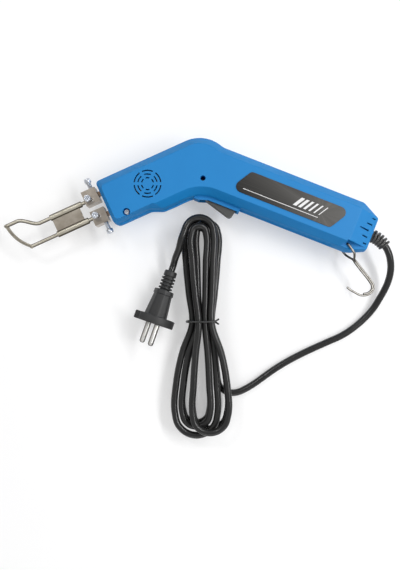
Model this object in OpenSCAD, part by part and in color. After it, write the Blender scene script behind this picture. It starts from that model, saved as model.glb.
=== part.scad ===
// Electric hot knife for rope and cloth, lying on its right side.
// The parting plane of the housing is level, halfway up. The nose points to -X, the handle to +X.
// Nose places are given as u (forward along the nose) and v (up across it),
// handle places as s (back along the handle) and t (up across it), both from the centre of the head.

/* [Housing outline] */
// Radius of the head above the trigger
head_r = 30; // [28:0.5:33]
// Angle of the nose below level
nose_tilt = 24.4; // [22:0.2:27]
// Angle of the handle below level
handle_tilt = 21.4; // [19:0.2:24]
// Length of the nose from the centre of the head
nose_len = 85.5; // [83:0.5:92]
// Depth of the nose below its axis, at the front
nose_low = 11; // [10.5:0.5:13]
// Height of the step under the nose, between front and neck
step_rise = 5.5; // [4.8:0.1:6]
// Height of that step left on the flat faces
face_step = 1; // [0.8:0.1:1.4]
// Distance of the step under the nose from the head
step_u = 47; // [45:0.5:50]
// Slope of the step under the nose
step_slope = 25; // [20:1:30]
// Length of the handle from the centre of the head
handle_len = 160; // [156:1:172]
// Height of the handle above its axis
handle_top = 27.8; // [26.5:0.2:28.6]
// Depth of the handle below its axis
handle_low = 16.5; // [16:0.5:18]
// Direction of the shoulder where the head runs into the handle
shoulder_dir = 52; // [50:1:56]
// Radius of the hollow under the elbow
elbow_r = 30; // [24:1:36]
// Depth of the cut across the upper corner of the handle's end
end_cut_top = 8.3; // [6:0.1:9]
// Slope of that cut
end_cut_slope = 26.8; // [22:0.2:32]
// Depth of the cut across the lower corner of the handle's end
end_cut_low = 5.6; // [4:0.1:7]
// Slope of that cut
end_low_slope = 24.8; // [20:0.2:30]
// Rounding of the outer corners
corner_r = 3; // [2.6:0.1:4]

/* [Housing section] */
// Thickness of the housing over both halves
body_thick = 42; // [41:0.5:48]
// Wall thickness
wall = 2.4; // [2:0.1:3]
// Height of the bevel on each face
bevel_rise = 9; // [8:0.2:10]
// Width of the bevel along the top
bevel_top = 8.3; // [7:0.1:9]
// Width of the bevel along the underside
bevel_low = 6; // [5.5:0.1:6.6]
// Width of the bevel along the front
bevel_front = 4; // [3:0.1:5]
// Length of the sloping end of the handle
bevel_end = 21.2; // [19:0.2:22]
// Part of each bevel that the leaning side takes up
side_lean = 0.13; // [0.08:0.01:0.18]

/* [Vents] */
// Distance of the grille from the head, along the nose
grille_u = 44.7; // [43:0.5:47]
// Height of the grille on the nose
grille_v = 7; // [6:0.5:8]
// Radius of the outer ring of slots
grille_r = 11.2; // [10.5:0.1:11.6]
// Distance between the rings of slots
grille_step = 3.1; // [2.6:0.1:3.4]
// Width of every vent slot
slot_w = 1.1; // [0.8:0.1:1.4]
// Distance between the slots at the handle's end
end_slot_pitch = 5.6; // [5:0.1:6]
// Length of the middle slot at the handle's end
end_slot_len = 9; // [7:0.5:10]

/* [Housing screws] */
// Diameter of the screws that join the halves
shell_screw_d = 2.9; // [2.5:0.1:3.5]
// Diameter of their heads
shell_head_d = 4.2; // [4:0.1:4.6]
// Height of their heads
shell_head_h = 2; // [1.6:0.1:2.4]
// Outer diameter of the screw bosses
boss_d = 7.4; // [7:0.1:8]
// Wide counterbore of the front screw
front_bore_d = 6.3; // [5.6:0.1:6.6]
// Depth of the front screw's head below the face
front_seat = 4.2; // [3.5:0.1:5]
// Height of the seats of the deep screws above the parting plane
deep_seat = 4; // [3:0.5:6]
// Grip of the screws below the parting plane
screw_grip = 12; // [10:0.5:14]
// Distance of the front screw from the front of the nose
front_screw_back = 15; // [14:0.5:16]
// Height of the front screw across the nose
front_screw_v = -7; // [-7.2:0.1:-6]
// Place of the deep screw by the trigger, to the right of the head's centre
mid_screw_x = 2.9; // [2:0.1:3.5]
// Place of the deep screw by the trigger, above the head's centre
mid_screw_y = -7.4; // [-8:0.1:-7]
// Distance of the deep screw under the label from the handle's end
label_screw_back = 62; // [57:0.5:67]
// Height of the deep screw under the label across the handle
label_screw_t = -2; // [-4:0.5:0]

/* [Label] */
// Distance of the label's lower front corner from the handle's end
label_back = 130.5; // [128:0.5:131]
// Height of the label's lower edge across the handle
label_low = -5.6; // [-6:0.1:-5]
// Length of the label plate
label_len = 90; // [84:0.5:92]
// Height of the label plate
label_h = 19.6; // [18:0.2:22]
// Shift of its upper edge along the handle
label_slant = 12; // [10:0.5:13]
// Thickness of the label plate
label_t = 0.6; // [0.4:0.1:0.8]

/* [Trigger] */
// Distance of the trigger pin along the handle
pivot_s = 12.5; // [12:0.1:13]
// Height of the trigger pin across the handle
pivot_t = -11.5; // [-12:0.1:-11]
// Diameter of the trigger pin
pin_d = 3; // [2.6:0.1:3.4]
// Thickness of the trigger
trigger_thick = 11; // [10:0.2:12]
// Length of the trigger behind its pin
trigger_len = 28.5; // [27.5:0.1:29]
// Depth of the trigger's tip below its pin
trigger_drop = 15.5; // [14:0.2:17]
// Height of the trigger's inner edge above its pin
trigger_rise = 2.5; // [2.2:0.1:2.8]
// Gap between the trigger and the sides of its slot
trigger_gap = 0.4; // [0.3:0.05:0.6]
// Width of the rim round the trigger slot
rim_w = 2; // [1.6:0.1:2.4]
// Height of the rim below the handle
rim_h = 2.8; // [2:0.1:3.5]
// Diameter of the trigger spring
spring_d = 5; // [4.4:0.1:5.6]
// Wire of the trigger spring
spring_wire = 0.7; // [0.6:0.05:0.8]

/* [Switch] */
// Length of the switch
switch_len = 20; // [18:0.5:22]
// Height of the switch
switch_h = 16; // [15:0.5:17]
// Thickness of the switch
switch_thick = 10; // [9:0.5:11]
// Gap from the trigger to the switch, bridged by the button
switch_gap = 5; // [4.6:0.1:5.6]
// Diameter of the button
button_d = 4; // [3.6:0.1:4.4]
// Depth of the button inside the switch
button_in = 5; // [4:0.5:6]
// Width of the two terminals
tab_w = 4.8; // [4:0.1:5.2]
// Length of the two terminals
tab_len = 6; // [5:0.1:6.4]

/* [Transformer] */
// Distance of the core from the front of the nose
core_u = 13.5; // [12.5:0.5:14.5]
// Length of the core along the nose
core_len = 38; // [36:0.5:39]
// Height of the core across the housing
core_h = 32; // [30:0.5:32.6]
// Depth of the stack of plates
core_stack = 14; // [12:0.5:15]
// Width of the limbs
limb = 10; // [9:0.5:11]
// Width of the yokes
yoke = 8; // [7:0.5:9]
// Thickness of the steel strap
strap_t = 0.8; // [0.6:0.1:1]
// Width of the steel strap
strap_w = 10; // [8:0.5:12]
// Wall of the bobbin
bobbin_wall = 1; // [0.8:0.1:1.2]
// Depth of the winding
coil_depth = 3.6; // [3:0.1:4]

/* [Conductor] */
// Height of the blade's axis above the nose axis
blade_v = 11.2; // [10.8:0.1:11.6]
// Distance between the two legs of the conductor
leg_pitch = 18.7; // [18:0.1:19.4]
// Thickness of the conductor
bar_t = 3; // [2.6:0.1:3.4]
// Width of the conductor
bar_w = 8; // [7:0.2:9]
// Depth of the conductor in the clamp blocks
bar_in = 6; // [5:0.2:6.4]
// Flange of the insulator behind the front wall
insulator_flange = 4; // [3:0.2:5]
// Height of the insulator's neck in the front wall
insulator_h = 16; // [14:0.5:18]

/* [Blade] */
// Gap from the nose to the clamp blocks
block_gap = 2.5; // [2:0.1:4]
// Length of the clamp blocks
block_len = 13; // [12.6:0.1:14]
// Width of the clamp blocks
block_w = 13; // [12:0.1:14]
// Thickness of the clamp blocks
block_h = 12; // [11:0.2:13]
// Diameter of the clamp screws
clamp_screw_d = 4; // [3.6:0.1:4.2]
// Diameter of their heads
clamp_head_d = 5.8; // [5.4:0.1:6.2]
// Height of their heads
clamp_head_h = 3.8; // [3:0.1:4.4]
// Free shank between a side screw's head and its block
side_stand = 6.2; // [5:0.1:7]
// Free shank between a face screw's head and its block
face_stand = 2; // [1:0.1:3]
// Distance between the two rods
rod_pitch = 15.7; // [15:0.1:16.4]
// Diameter of the rods
rod_d = 3.2; // [3:0.1:3.4]
// Reach of the straight lower rod past the sleeve
rod_end_u = 25; // [21:0.5:27]
// Reach of the upper rod's tip past the lower one
tip_reach = 13; // [11:0.5:14]
// Rise of the upper rod's tip above its straight part
tip_rise = 9.6; // [8:0.2:11]
// Distance of the sleeve from the clamp blocks
sleeve_u = 4; // [2:0.5:7]
// Length of the sleeve
sleeve_len = 30; // [26:0.5:32]
// Outer diameter of the sleeve's tubes
sleeve_d = 5.4; // [4.8:0.1:6]
// Thickness of the web between the tubes
web_t = 1.6; // [1.2:0.1:2]
// Bend radius of the cutting strip
strip_r = 35.8; // [30:0.2:42]
// Width of the cutting strip
strip_w = 2.8; // [2.4:0.1:3.2]
// Thickness of the cutting strip
strip_t = 3.6; // [3:0.1:4]

/* [Hook] */
// Distance of the hook's hole from the handle's end
hook_s = 20; // [18:0.5:22]
// Height of the hook's hole across the handle
hook_t = -11.5; // [-12:0.1:-11]
// Wire of the hook
hook_wire = 1.9; // [1.7:0.1:2.1]
// Depth of the hook's pins in the housing
hook_pin_len = 8; // [6:0.5:9]
// Level reach of the hook's legs from the hole
hook_leg = 10.5; // [10:0.1:11]

/* [Cord and plug] */
// Diameter of the cord
cord_d = 6; // [5.6:0.1:6.2]
// Outer diameter of the strain relief
relief_d = 12; // [11:0.2:13]
// Diameter of the strain relief in the end wall
relief_neck_d = 9; // [8.4:0.1:9.6]
// Height of the strain relief on the handle's end
relief_t = 5; // [4:0.5:6]
// Visible length of the strain relief
relief_len = 15; // [14:0.5:18]
// Turn of the strain relief
relief_turn = 32; // [28:1:36]
// Number of fins on the strain relief
relief_fins = 5; // [4:1:6]
// Distance of the cord clamp from the handle's end
clamp_s = 34; // [32:0.5:38]
// Distance between the cord clamp's screws
clamp_pitch = 16; // [14.5:0.5:17]
// Diameter of the cord clamp's screws
grip_screw_d = 2.5; // [2.2:0.1:2.9]
// Diameter of the single wires inside
lead_d = 2.2; // [1.8:0.1:2.4]
// Diameter of the plug's pins
plug_pin_d = 4.8; // [4:0.1:4.8]
// Length of the plug's pins
plug_pin_len = 19; // [18:0.5:20]
// Distance between the plug's pins
plug_pitch = 19; // [18:0.5:20]
// Diameter of the plug's face
plug_face_d = 36; // [34:0.5:38]
// Thickness of the plug's face
plug_face_t = 7; // [6:0.5:8]
// Length of the plug's body behind its face
plug_grip_len = 24; // [22:0.5:26]
// Length of the plug's ribbed boot
boot_len = 18; // [16:0.5:20]
// Wire of the tie round the hank
tie_d = 1.6; // [1.2:0.1:1.8]

/* [Fits] */
// Gap between pieces that are assembled and stay put
seat_gap = 0.1; // [0.05:0.01:0.15]
// Radial gap of a turning or sliding fit
run_gap = 0.06; // [0.03:0.01:0.1]
// Gap between pieces that move past each other
move_gap = 0.3; // [0.25:0.05:0.4]

/* [Hidden] */

$fn = 48;
mid_z = body_thick / 2;
side_h = mid_z - bevel_rise;
inner_top = mid_z - wall;
neck_low = nose_low + step_rise;
bevel_nose_low = bevel_low - step_rise + face_step;
overlap = 1;

// Places in the plan: points on the nose and on the handle
function nose_pt(u, v) = [
    -u * cos(nose_tilt) - v * sin(nose_tilt),
    -u * sin(nose_tilt) + v * cos(nose_tilt)
];
function handle_pt(s, t) = [
    s * cos(handle_tilt) + t * sin(handle_tilt),
    -s * sin(handle_tilt) + t * cos(handle_tilt)
];
function nose_pt3(u, v, z) = [each nose_pt(u, v), z + mid_z];
function handle_pt3(s, t, z) = [each handle_pt(s, t), z + mid_z];

module on_nose(u = 0, v = 0, z = 0)
    translate([0, 0, mid_z]) rotate(nose_tilt) translate([-u, v, z]) children();

module on_handle(s = 0, t = 0, z = 0)
    translate([0, 0, mid_z]) rotate(-handle_tilt) translate([s, t, z]) children();

// A box from one corner to the other
module span(low, high) translate(low) cube(high - low);

function unit(v) = v / norm(v);
function ease(x) = x * x * (3 - 2 * x);

// Rounded polygons: each corner is [x, y, radius, arc steps]
function corner_points(a, b, c) =
    let (
        p = [b[0], b[1]],
        to_a = unit([a[0], a[1]] - p),
        to_c = unit([c[0], c[1]] - p),
        half = acos(max(-1, min(1, to_a * to_c))) / 2,
        centre = p + unit(to_a + to_c) * b[2] / sin(half),
        from = p + to_a * b[2] / tan(half) - centre,
        to = p + to_c * b[2] / tan(half) - centre,
        start = atan2(from[1], from[0]),
        turn = atan2(from[0] * to[1] - from[1] * to[0], from * to)
    )
    [for (i = [0 : b[3]]) centre + b[2] * [cos(start + turn * i / b[3]), sin(start + turn * i / b[3])]];

function rounded(corners) =
    let (n = len(corners))
    [for (i = [0 : n - 1]) each corner_points(corners[(i + n - 1) % n], corners[i], corners[(i + 1) % n])];

// The housing's outline as straight edges, each [direction of its outward normal, distance].
// inset moves every edge inwards, and part runs from 0 at the side wall to 1 at the flat face.
function along(angle, p) = p[0] * cos(angle) + p[1] * sin(angle);

function outline_edges(inset, part) =
    let (
        top = handle_top - inset - part * bevel_top,
        low = handle_low - inset - part * bevel_low,
        end = handle_len - inset - part * bevel_end,
        cut = 1 - 0.95 * part,
        cut_dir = 90 - end_cut_slope,
        low_dir = end_low_slope - 90,
        step_dir = step_slope - 90 - 2 * step_slope,
        step_low = (nose_low + neck_low) / 2 - inset - part * (bevel_low + bevel_nose_low) / 2
    )
    [
        [180 + nose_tilt, nose_len - inset - part * bevel_front],
        [90 + nose_tilt, head_r - inset - part * bevel_top],
        [shoulder_dir, head_r - inset - part * bevel_top],
        [90 - handle_tilt, top],
        [cut_dir - handle_tilt, along(cut_dir, [end, top]) - end_cut_top * cut],
        [-handle_tilt, end],
        [low_dir - handle_tilt, along(low_dir, [end, -low]) - end_cut_low * cut],
        [-90 - handle_tilt, low],
        [nose_tilt - 90, neck_low - inset - part * bevel_low],
        [step_dir + nose_tilt, along(step_dir, [-step_u, -step_low])],
        [nose_tilt - 90, nose_low - inset - part * bevel_nose_low]
    ];

function meet(e, f) =
    let (d = sin(f[0] - e[0]))
    [e[1] * sin(f[0]) - f[1] * sin(e[0]), f[1] * cos(e[0]) - e[1] * cos(f[0])] / d;

function outline(inset, part) =
    let (
        e = outline_edges(inset, part),
        small = corner_r - 0.8 * inset,
        fade = 1 - 0.9 * part,
        step_fade = 1 - 0.8 * part,
        radii = [
            [small, 3], [head_r - inset - part * bevel_top, 12], [12, 3], [2 * corner_r * fade, 3],
            [small * fade, 3], [small * fade, 3], [2 * corner_r * fade, 3],
            [elbow_r + inset + part * bevel_low, 10], [10 * step_fade, 2], [14 * step_fade, 2], [small, 3]
        ]
    )
    rounded([for (i = [0 : len(e) - 1]) [each meet(e[i], e[(i + 1) % len(e)]), each radii[i]]]);

// Half of the housing as one closed skin: down the outside, across the parting face, up the inside.
// Each ring is [height, inset, part].
half_rings = [
    [mid_z, 0, 1.03], [mid_z - 0.3, 0, 0.975], [mid_z - 1.2, 0, 0.885],
    [side_h + 0.8, 0, side_lean + 0.07], [side_h - 1, 0, side_lean * 0.9], [0, 0, 0],
    [0, wall, 0], [side_h - 0.8, wall, side_lean], [inner_top, 0.6 * wall, 1]
];

// The space within which bosses and ribs end inside the wall
trim_rings = [
    [mid_z - wall / 2, wall / 2, 1], [side_h, wall / 2, side_lean], [-overlap, wall / 2, 0]
];

// Tubes along a route: one skin with a ring at every point; radius may be one number or a list
function heading(p, i) = unit(p[min(i + 1, len(p) - 1)] - p[max(i - 1, 0)]);

function ring(p, dir, r, sides) =
    let (
        side = unit(cross(dir, [0, 0, 1])),
        up = cross(side, dir)
    )
    [for (k = [0 : sides - 1]) p + r * (cos(360 * k / sides) * side + sin(360 * k / sides) * up)];

// One closed skin over a row of rings with equal, even numbers of points.
// Each end is closed by a ladder of triangles from one side of its ring to the other.
function end_faces(first, n) = [
    for (i = [0 : n / 2 - 2])
        let (a = first + i, b = first + n - 1 - i)
        each [[a, a + 1, b], [a + 1, b - 1, b]]
];

module skin(rings) {
    n = len(rings[0]);
    last = len(rings) - 1;
    polyhedron(
        points = [for (r = rings, p = r) p],
        faces = [
            for (f = end_faces(0, n)) [f[2], f[1], f[0]],
            each end_faces(last * n, n),
            for (i = [0 : last - 1], k = [0 : n - 1])
                let (a = i * n, b = a + n, m = (k + 1) % n)
                each [[a + k, a + m, b + m], [a + k, b + m, b + k]]
        ]
    );
}

module tube(route, r, sides)
    skin([for (i = [0 : len(route) - 1]) ring(route[i], heading(route, i), is_list(r) ? r[i] : r, sides)]);

module outline_skin(specs)
    translate([0, 0, mid_z])
        skin([
            for (i = [len(specs) - 1 : -1 : 0])
                [for (p = outline(specs[i][1], specs[i][2])) [each p, specs[i][0]]]
        ]);

function total(list, i = 0) = i < len(list) ? list[i] + total(list, i + 1) : 0;
function length_of(p) = total([for (i = [1 : len(p) - 1]) norm(p[i] - p[i - 1])]);

// Places of the housing screws in the plan: front one, deep one by the trigger, one under the label
front_screw = nose_pt(nose_len - front_screw_back, front_screw_v);
mid_screw = [mid_screw_x, mid_screw_y];
label_screw = handle_pt(handle_len - label_screw_back, label_screw_t);
deep_screws = [mid_screw, label_screw];
head_gap = 0.15;
front_top = mid_z - front_seat;

// Trigger and switch, in the handle's places
trigger_back = pivot_s + trigger_len;
trigger_in = pivot_t + trigger_rise;
trigger_half = trigger_thick / 2;
slot_front = pivot_s - 4.1;
slot_back = trigger_back + 1.2;
slot_half = trigger_half + trigger_gap;
slot_top = pivot_t - 1;
rim_front = slot_front - 4.9;
rim_back = slot_back + rim_w;
rim_half = slot_half + rim_w;
rim_low = -handle_low - rim_h;
switch_s = pivot_s + 1.5;
switch_low = trigger_in + switch_gap;
switch_top = switch_low + switch_h;
switch_half = switch_thick / 2;
button_s = switch_s + switch_len / 2;
tab_places = [switch_s + 4, switch_s + switch_len - 4];
post_places = [[switch_s + 3.5, switch_top - 4], [switch_s + switch_len - 3.5, switch_low + 4]];
post_r = 2.6;
post_pin_r = 1.5;
spring_s = switch_s + switch_len + spring_d / 2 + 1;
spring_top = trigger_in + 8;
spring_turns = 5;
ledge_t = 2;

// Transformer and conductor, in the nose's places
core_v = blade_v - core_stack / 2;
core_front = nose_len - core_u;
core_rear = core_front - core_len;
core_half = core_h / 2;
window_rear = core_rear + limb;
window_front = core_front - limb;
window_half = core_half - yoke;
bobbin_gap = 0.15;
flange_t = 1.2;
tube_out = bobbin_gap + bobbin_wall;
coil_out = tube_out + coil_depth;
flange_out = coil_out + 0.4;
coil_rear = core_rear - coil_out;
upper_leg = blade_v + leg_pitch / 2;
lower_leg = blade_v - leg_pitch / 2;
cross_u = window_front - 9.5;
block_u = nose_len + block_gap;
block_end = block_u + block_len;
bar_end = block_u + bar_in;
flange_u = nose_len - wall - bevel_front * side_lean - seat_gap;
neck_half_v = leg_pitch / 2 + bar_t / 2 + 2.2;
neck_half_z = insulator_h / 2;

// Blade, in the nose's places
upper_rod_v = blade_v + rod_pitch / 2;
lower_rod_v = blade_v - rod_pitch / 2;
rod_r = rod_d / 2;
rod_u = bar_end + 0.6;
side_screw_u = block_u + bar_in / 2 + 1;
face_screw_u = bar_end + 3;
clamp_r = clamp_screw_d / 2;
block_half = block_w / 2;
sleeve_start = block_end + sleeve_u;
sleeve_end = sleeve_start + sleeve_len;
low_tip_u = sleeve_end + rod_end_u;
tip_u = low_tip_u + tip_reach;
tip_v = upper_rod_v + tip_rise;

// Hook: its legs lie in pockets in the two faces
hook_r = hook_wire / 2;
pocket_floor = side_h + 1.2;
pocket_back = 2.6;
pocket_side = 2.4;
hook_leg_z = pocket_floor + move_gap + hook_r;
hook_at = handle_len - hook_s;
hook_hole = handle_pt(hook_at, hook_t);

// Cord inside the handle, and the clamp that grips it
clamp_at = handle_len - clamp_s;
tail_len = 14;
tail_end = clamp_at - tail_len;

// Cord: every route is a list of round numbers, in the whole part's frame
cord_r = cord_d / 2;
relief_start = handle_pt3(handle_len, relief_t, 0);
relief_bend = relief_len / (relief_turn * PI / 180);
function relief_dir(x) = -handle_tilt - x / relief_bend * 180 / PI;
function relief_at(x) =
    relief_start + relief_bend * [
        sin(handle_tilt) * -1 + cos(relief_dir(x) + 90),
        cos(handle_tilt) * -1 + sin(relief_dir(x) + 90),
        0
    ];
relief_exit = relief_at(relief_len);
relief_exit_dir = [cos(relief_dir(relief_len)), sin(relief_dir(relief_len)), 0];

supply_route = [
    [166.3, -69.4, 20.5], [168.1, -75, 19.2], [169.3, -81.5, 17], [169.4, -88.2, 14.5], [168.3, -95, 12],
    [166.2, -101.5, 9.6], [163.4, -108, 7.2], [157.4, -119, 4.4], [149.8, -127.8, 3.3], [140, -136.3, 3.1],
    [128.6, -143.6, 3.1], [119, -147.9, 3.1], [108.6, -152.5, 3.1], [97, -157.8, 3.1], [86.6, -163, 3.1],
    [77.2, -168.2, 3.1], [67.9, -174, 3.1], [58.4, -180.7, 3.1], [50.2, -186.6, 3.1], [42.6, -191.2, 3.1],
    [35.6, -194.4, 3.1], [28.8, -195.2, 3.1], [22.6, -193.2, 3.1], [18.4, -189, 3.1]
];

// The hank: one unbroken tube in long loops, up on the right and down on the left.
// A half turn runs from one fold's top to the next. Loops spiral in, climb a layer, spiral out.
// Layers lean to either side in turn, so that the runs of one fill the opening of the next.
hank_x = 3;
waist_y = -129.4;
top_fold_y = -51.1;
low_fold_y = -210.8;
waist_step = 7.5;
top_step = 7.5;
low_step = 8;
top_core = 3.8;
low_core = 9.4;
top_lean = 2.8;
low_lean = 5.5;
outer_rank = 1.25;
layer_step = 6.7;
waist_lift = 2.4;
waist_soft = 0.08;
rings_per_half = 12;
first_ring = 5;
last_ring = 134;
lead_in = 20;

function hank_rank(h) =
    let (m = h % 6)
    m < 2 ? outer_rank - m / 2 : m < 3 ? outer_rank - 1 : m < 5 ? outer_rank - 1 + (m - 3) / 2 : outer_rank;
function hank_layer(h) =
    let (m = h % 6)
    2 * floor(h / 6) + (m < 2 ? 0 : m < 3 ? m - 2 : m < 5 ? 1 : m - 4);

// Share of the lobe's full width at a height on a run: 0 at the waist, 1 where the fold begins
function lobe_share(y) =
    let (
        top = y > waist_y,
        g = abs(y - waist_y) / abs((top ? top_fold_y : low_fold_y) - waist_y),
        soft = (norm([g, waist_soft]) - waist_soft) / (norm([1, waist_soft]) - waist_soft)
    )
    1 - pow(1 - min(1, soft), top ? 2 : 2.5);

function hank_width(y, rank) =
    let (
        top = y > waist_y,
        share = lobe_share(y),
        lobe_step = top ? top_step : low_step
    )
    share * (top ? top_core : low_core) + rank * (waist_step + share * (lobe_step - waist_step));

function hank_lean(h, y) =
    let (side = round(hank_layer(h)) % 2 == 0 ? 1 : -1)
    side * lobe_share(y) * (y > waist_y ? top_lean : -low_lean);

function hank_point(h) =
    let (
        k = floor(h),
        e = h - k,
        rising = k % 2 == 0,
        fold = e < 0.25 ? 1 - 4 * e : e > 0.75 ? 4 * e - 3 : 0,
        at_top = rising ? e > 0.5 : e < 0.5,
        way = rising ? 2 * e - 0.5 : 1.5 - 2 * e,
        run_y = low_fold_y + (top_fold_y - low_fold_y) * max(0, min(1, way)),
        width = hank_width(run_y, hank_rank(h)),
        x = width * cos(90 * fold),
        y = run_y + width * sin(90 * fold) * (at_top ? 1 : -1),
        lift = waist_lift * (1 - lobe_share(run_y))
    )
    [
        hank_x + hank_lean(h, run_y) + (rising ? x : -x),
        y,
        cord_r + hank_layer(h) * layer_step + lift
    ];

hank_loops = [for (i = [first_ring : last_ring]) hank_point(i / rings_per_half)];
hank_in_dir = unit([-0.12, 1, 0]);
hank_out_dir = unit([-0.36, -0.93, 0]);
hank_in = hank_loops[0] - lead_in * hank_in_dir + [0, 0, 0.1 + cord_r - hank_loops[0][2]];
hank_out = hank_loops[len(hank_loops) - 1] + cord_d * hank_out_dir;
hank_route = concat([hank_in, hank_in + cord_d * hank_in_dir], hank_loops, [hank_out]);

// Least gap of the hank to itself, between points that are more than a fold apart along the cord
near_rings = 5;
hank_gap = min([
    for (i = [0 : len(hank_route) - 1], j = [i + near_rings : 1 : len(hank_route) - 1])
        norm(hank_route[i] - hank_route[j])
]) - cord_d;
echo(hank_least_gap = hank_gap, hank_length = length_of(hank_route));

// Plug: its own axis runs towards the pins
plug_heading = -109.1;
plug_tilt = 6;
plug_roll = 62;
plug_at = [
    -41.2, -131,
    plug_face_d / 2 * cos(plug_tilt) + plug_face_t * sin(plug_tilt)
];
plug_axis = [cos(plug_tilt) * cos(plug_heading), cos(plug_tilt) * sin(plug_heading), sin(plug_tilt)];
boot_end = plug_at - (plug_face_t + plug_grip_len + boot_len) * plug_axis;
lead_route = [[-18.5, -66.2, 20], [-21.1, -72.4, 17.2]];

// Tie round the waist of the hank, just off the cord
tie_r = tie_d / 2;
tie_gap = 0.5;
tie_off = cord_r + tie_gap + tie_r;
tie_low = [hank_x - outer_rank * waist_step - tie_off, cord_r + waist_lift - tie_off];
tie_high = [
    hank_x + (outer_rank - 0.25) * waist_step + tie_off,
    cord_r + waist_lift + 3 * layer_step + tie_off
];
tie_corner = 5;
tie_loop = rounded([
    [tie_high[0], tie_low[1], tie_corner, 4], [tie_low[0], tie_low[1], tie_corner, 4],
    [tie_low[0], tie_high[1], tie_corner, 4], [tie_high[0], tie_high[1], tie_corner, 4]
]);
tie_lap = 3;
tie_end = 2.4;
tie_route = concat(
    [
        [tie_high[0] + tie_end, waist_y - tie_lap / 2 - 1, 16],
        [tie_high[0] + tie_end / 3, waist_y - tie_lap / 2, 14.5]
    ],
    [
        for (i = [0 : len(tie_loop) - 1])
            [tie_loop[i][0], waist_y + tie_lap * (i / (len(tie_loop) - 1) - 0.5), tie_loop[i][1]]
    ],
    [
        [tie_high[0] + tie_end / 3, waist_y + tie_lap / 2, 19.5],
        [tie_high[0] + tie_end, waist_y + tie_lap / 2 + 1, 18.5]
    ]
);

// Grille: rings of six arcs
module grille_slots()
    for (row = [0 : 2], arm = [0 : 5])
        let (r = grille_r - row * grille_step, sweep = [48, 40, 36][row])
        on_nose(grille_u, grille_v, inner_top - overlap)
            rotate(60 * arm - nose_tilt + 90 - sweep / 2)
                rotate_extrude(angle = sweep)
                    translate([r - slot_w / 2, 0]) square([slot_w, wall + 2 * overlap]);

// Slots across the sloping end of the handle, longest in the middle
module end_slots()
    for (i = [-2 : 2])
        let (
            long = end_slot_len * [1, 0.6, 0.35][abs(i)],
            s = handle_len - bevel_end * 0.36 + 1.2 * abs(i) - long / 2
        )
        on_handle(0, relief_t + i * end_slot_pitch, 0)
            span([s - long / 2, -slot_w / 2, side_h - 4], [s + long / 2, slot_w / 2, mid_z + overlap]);

// Where the hook's leg lies and swings, cut down from the face
module hook_pocket() {
    on_handle(0, 0, pocket_floor)
        linear_extrude(bevel_rise + overlap)
            polygon([
                [hook_at - pocket_back, hook_t + pocket_side], [handle_len + 4, hook_t + pocket_side],
                [handle_len + 4, -handle_low - 6], [hook_at - 10, -handle_low - 6],
                [hook_at - 7, -handle_low - 0.5], [hook_at - pocket_back, hook_t]
            ]);
    on_handle(hook_at, hook_t, pocket_floor - hook_pin_len - move_gap)
        cylinder(d = hook_wire + 2 * run_gap, h = hook_pin_len + move_gap + overlap);
}

// Solid parts inside one half: screw bosses, pin and switch posts, the hook pocket's walls, core ribs
module half_fittings() {
    for (p = [front_screw, mid_screw, label_screw])
        translate([p[0], p[1], mid_z]) cylinder(d = boss_d, h = inner_top + overlap);
    on_handle(pivot_s, pivot_t, trigger_half + move_gap)
        cylinder(d = pin_d + 3, h = inner_top - trigger_half - move_gap + overlap);
    for (p = post_places)
        on_handle(p[0], p[1], switch_half) cylinder(r = post_r, h = inner_top - switch_half + overlap);
    on_handle()
        span(
            [hook_at - pocket_back - wall, -handle_low, pocket_floor - wall],
            [handle_len, hook_t + pocket_side + wall, inner_top + overlap]
        );
    on_nose() {
        span(
            [-core_front + 2, core_v + 3, core_half + strap_t],
            [-window_front, core_v + core_stack - 3, inner_top + overlap]
        );
        for (side = [0, 1])
            let (v = side ? core_v + core_stack + seat_gap : -nose_low + wall / 2)
            span(
                [-window_front - 6, v, window_half],
                [-window_front - 4, side ? head_r - bevel_top : core_v - seat_gap, inner_top + overlap]
            );
    }
}

// One half of the housing before it is cut: the skin, what stands inside it and the slot's rim
module half_solid() {
    outline_skin(half_rings);
    intersection() {
        half_fittings();
        outline_skin(trim_rings);
    }
    on_handle()
        linear_extrude(rim_half)
            polygon([
                [rim_front, -handle_low + wall / 2], [rim_front, rim_low - 2.6],
                [rim_front + 4.5, rim_low - 2.6], [slot_front + 7.5, rim_low],
                [rim_back, rim_low], [rim_back, -handle_low + wall / 2]
            ]);
}

// Openings through one half: trigger slot, nose, strain relief, pin, grille, vents and hook
module half_openings() {
    on_handle()
        span([slot_front, rim_low - 8, -overlap], [slot_back, slot_top, slot_half]);
    on_handle(pivot_s, pivot_t, 0) cylinder(d = pin_d + 2 * 0.02, h = trigger_half + move_gap + 6);
    on_nose()
        span(
            [-nose_len - overlap, blade_v - neck_half_v - seat_gap, -overlap],
            [-flange_u + seat_gap, blade_v + neck_half_v + seat_gap, neck_half_z + seat_gap]
        );
    on_handle(handle_len - bevel_end / 2, relief_t, 0)
        rotate([0, 90, 0]) cylinder(d = relief_neck_d + 2 * seat_gap, h = bevel_end);
    grille_slots();
    end_slots();
    hook_pocket();
}

module left_shell()
    color("steelblue")
    difference() {
        half_solid();
        half_openings();
        for (p = deep_screws)
            translate([p[0], p[1], mid_z + deep_seat]) cylinder(d = shell_head_d + 2 * head_gap, h = mid_z);
        translate([front_screw[0], front_screw[1], mid_z + front_top]) cylinder(d = front_bore_d, h = mid_z);
        for (p = [front_screw, mid_screw, label_screw])
            translate([p[0], p[1], mid_z - overlap]) cylinder(d = shell_screw_d + 2 * seat_gap, h = mid_z);
    }

module flipped() translate([0, 0, mid_z]) mirror([0, 0, 1]) translate([0, 0, -mid_z]) children();

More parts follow.
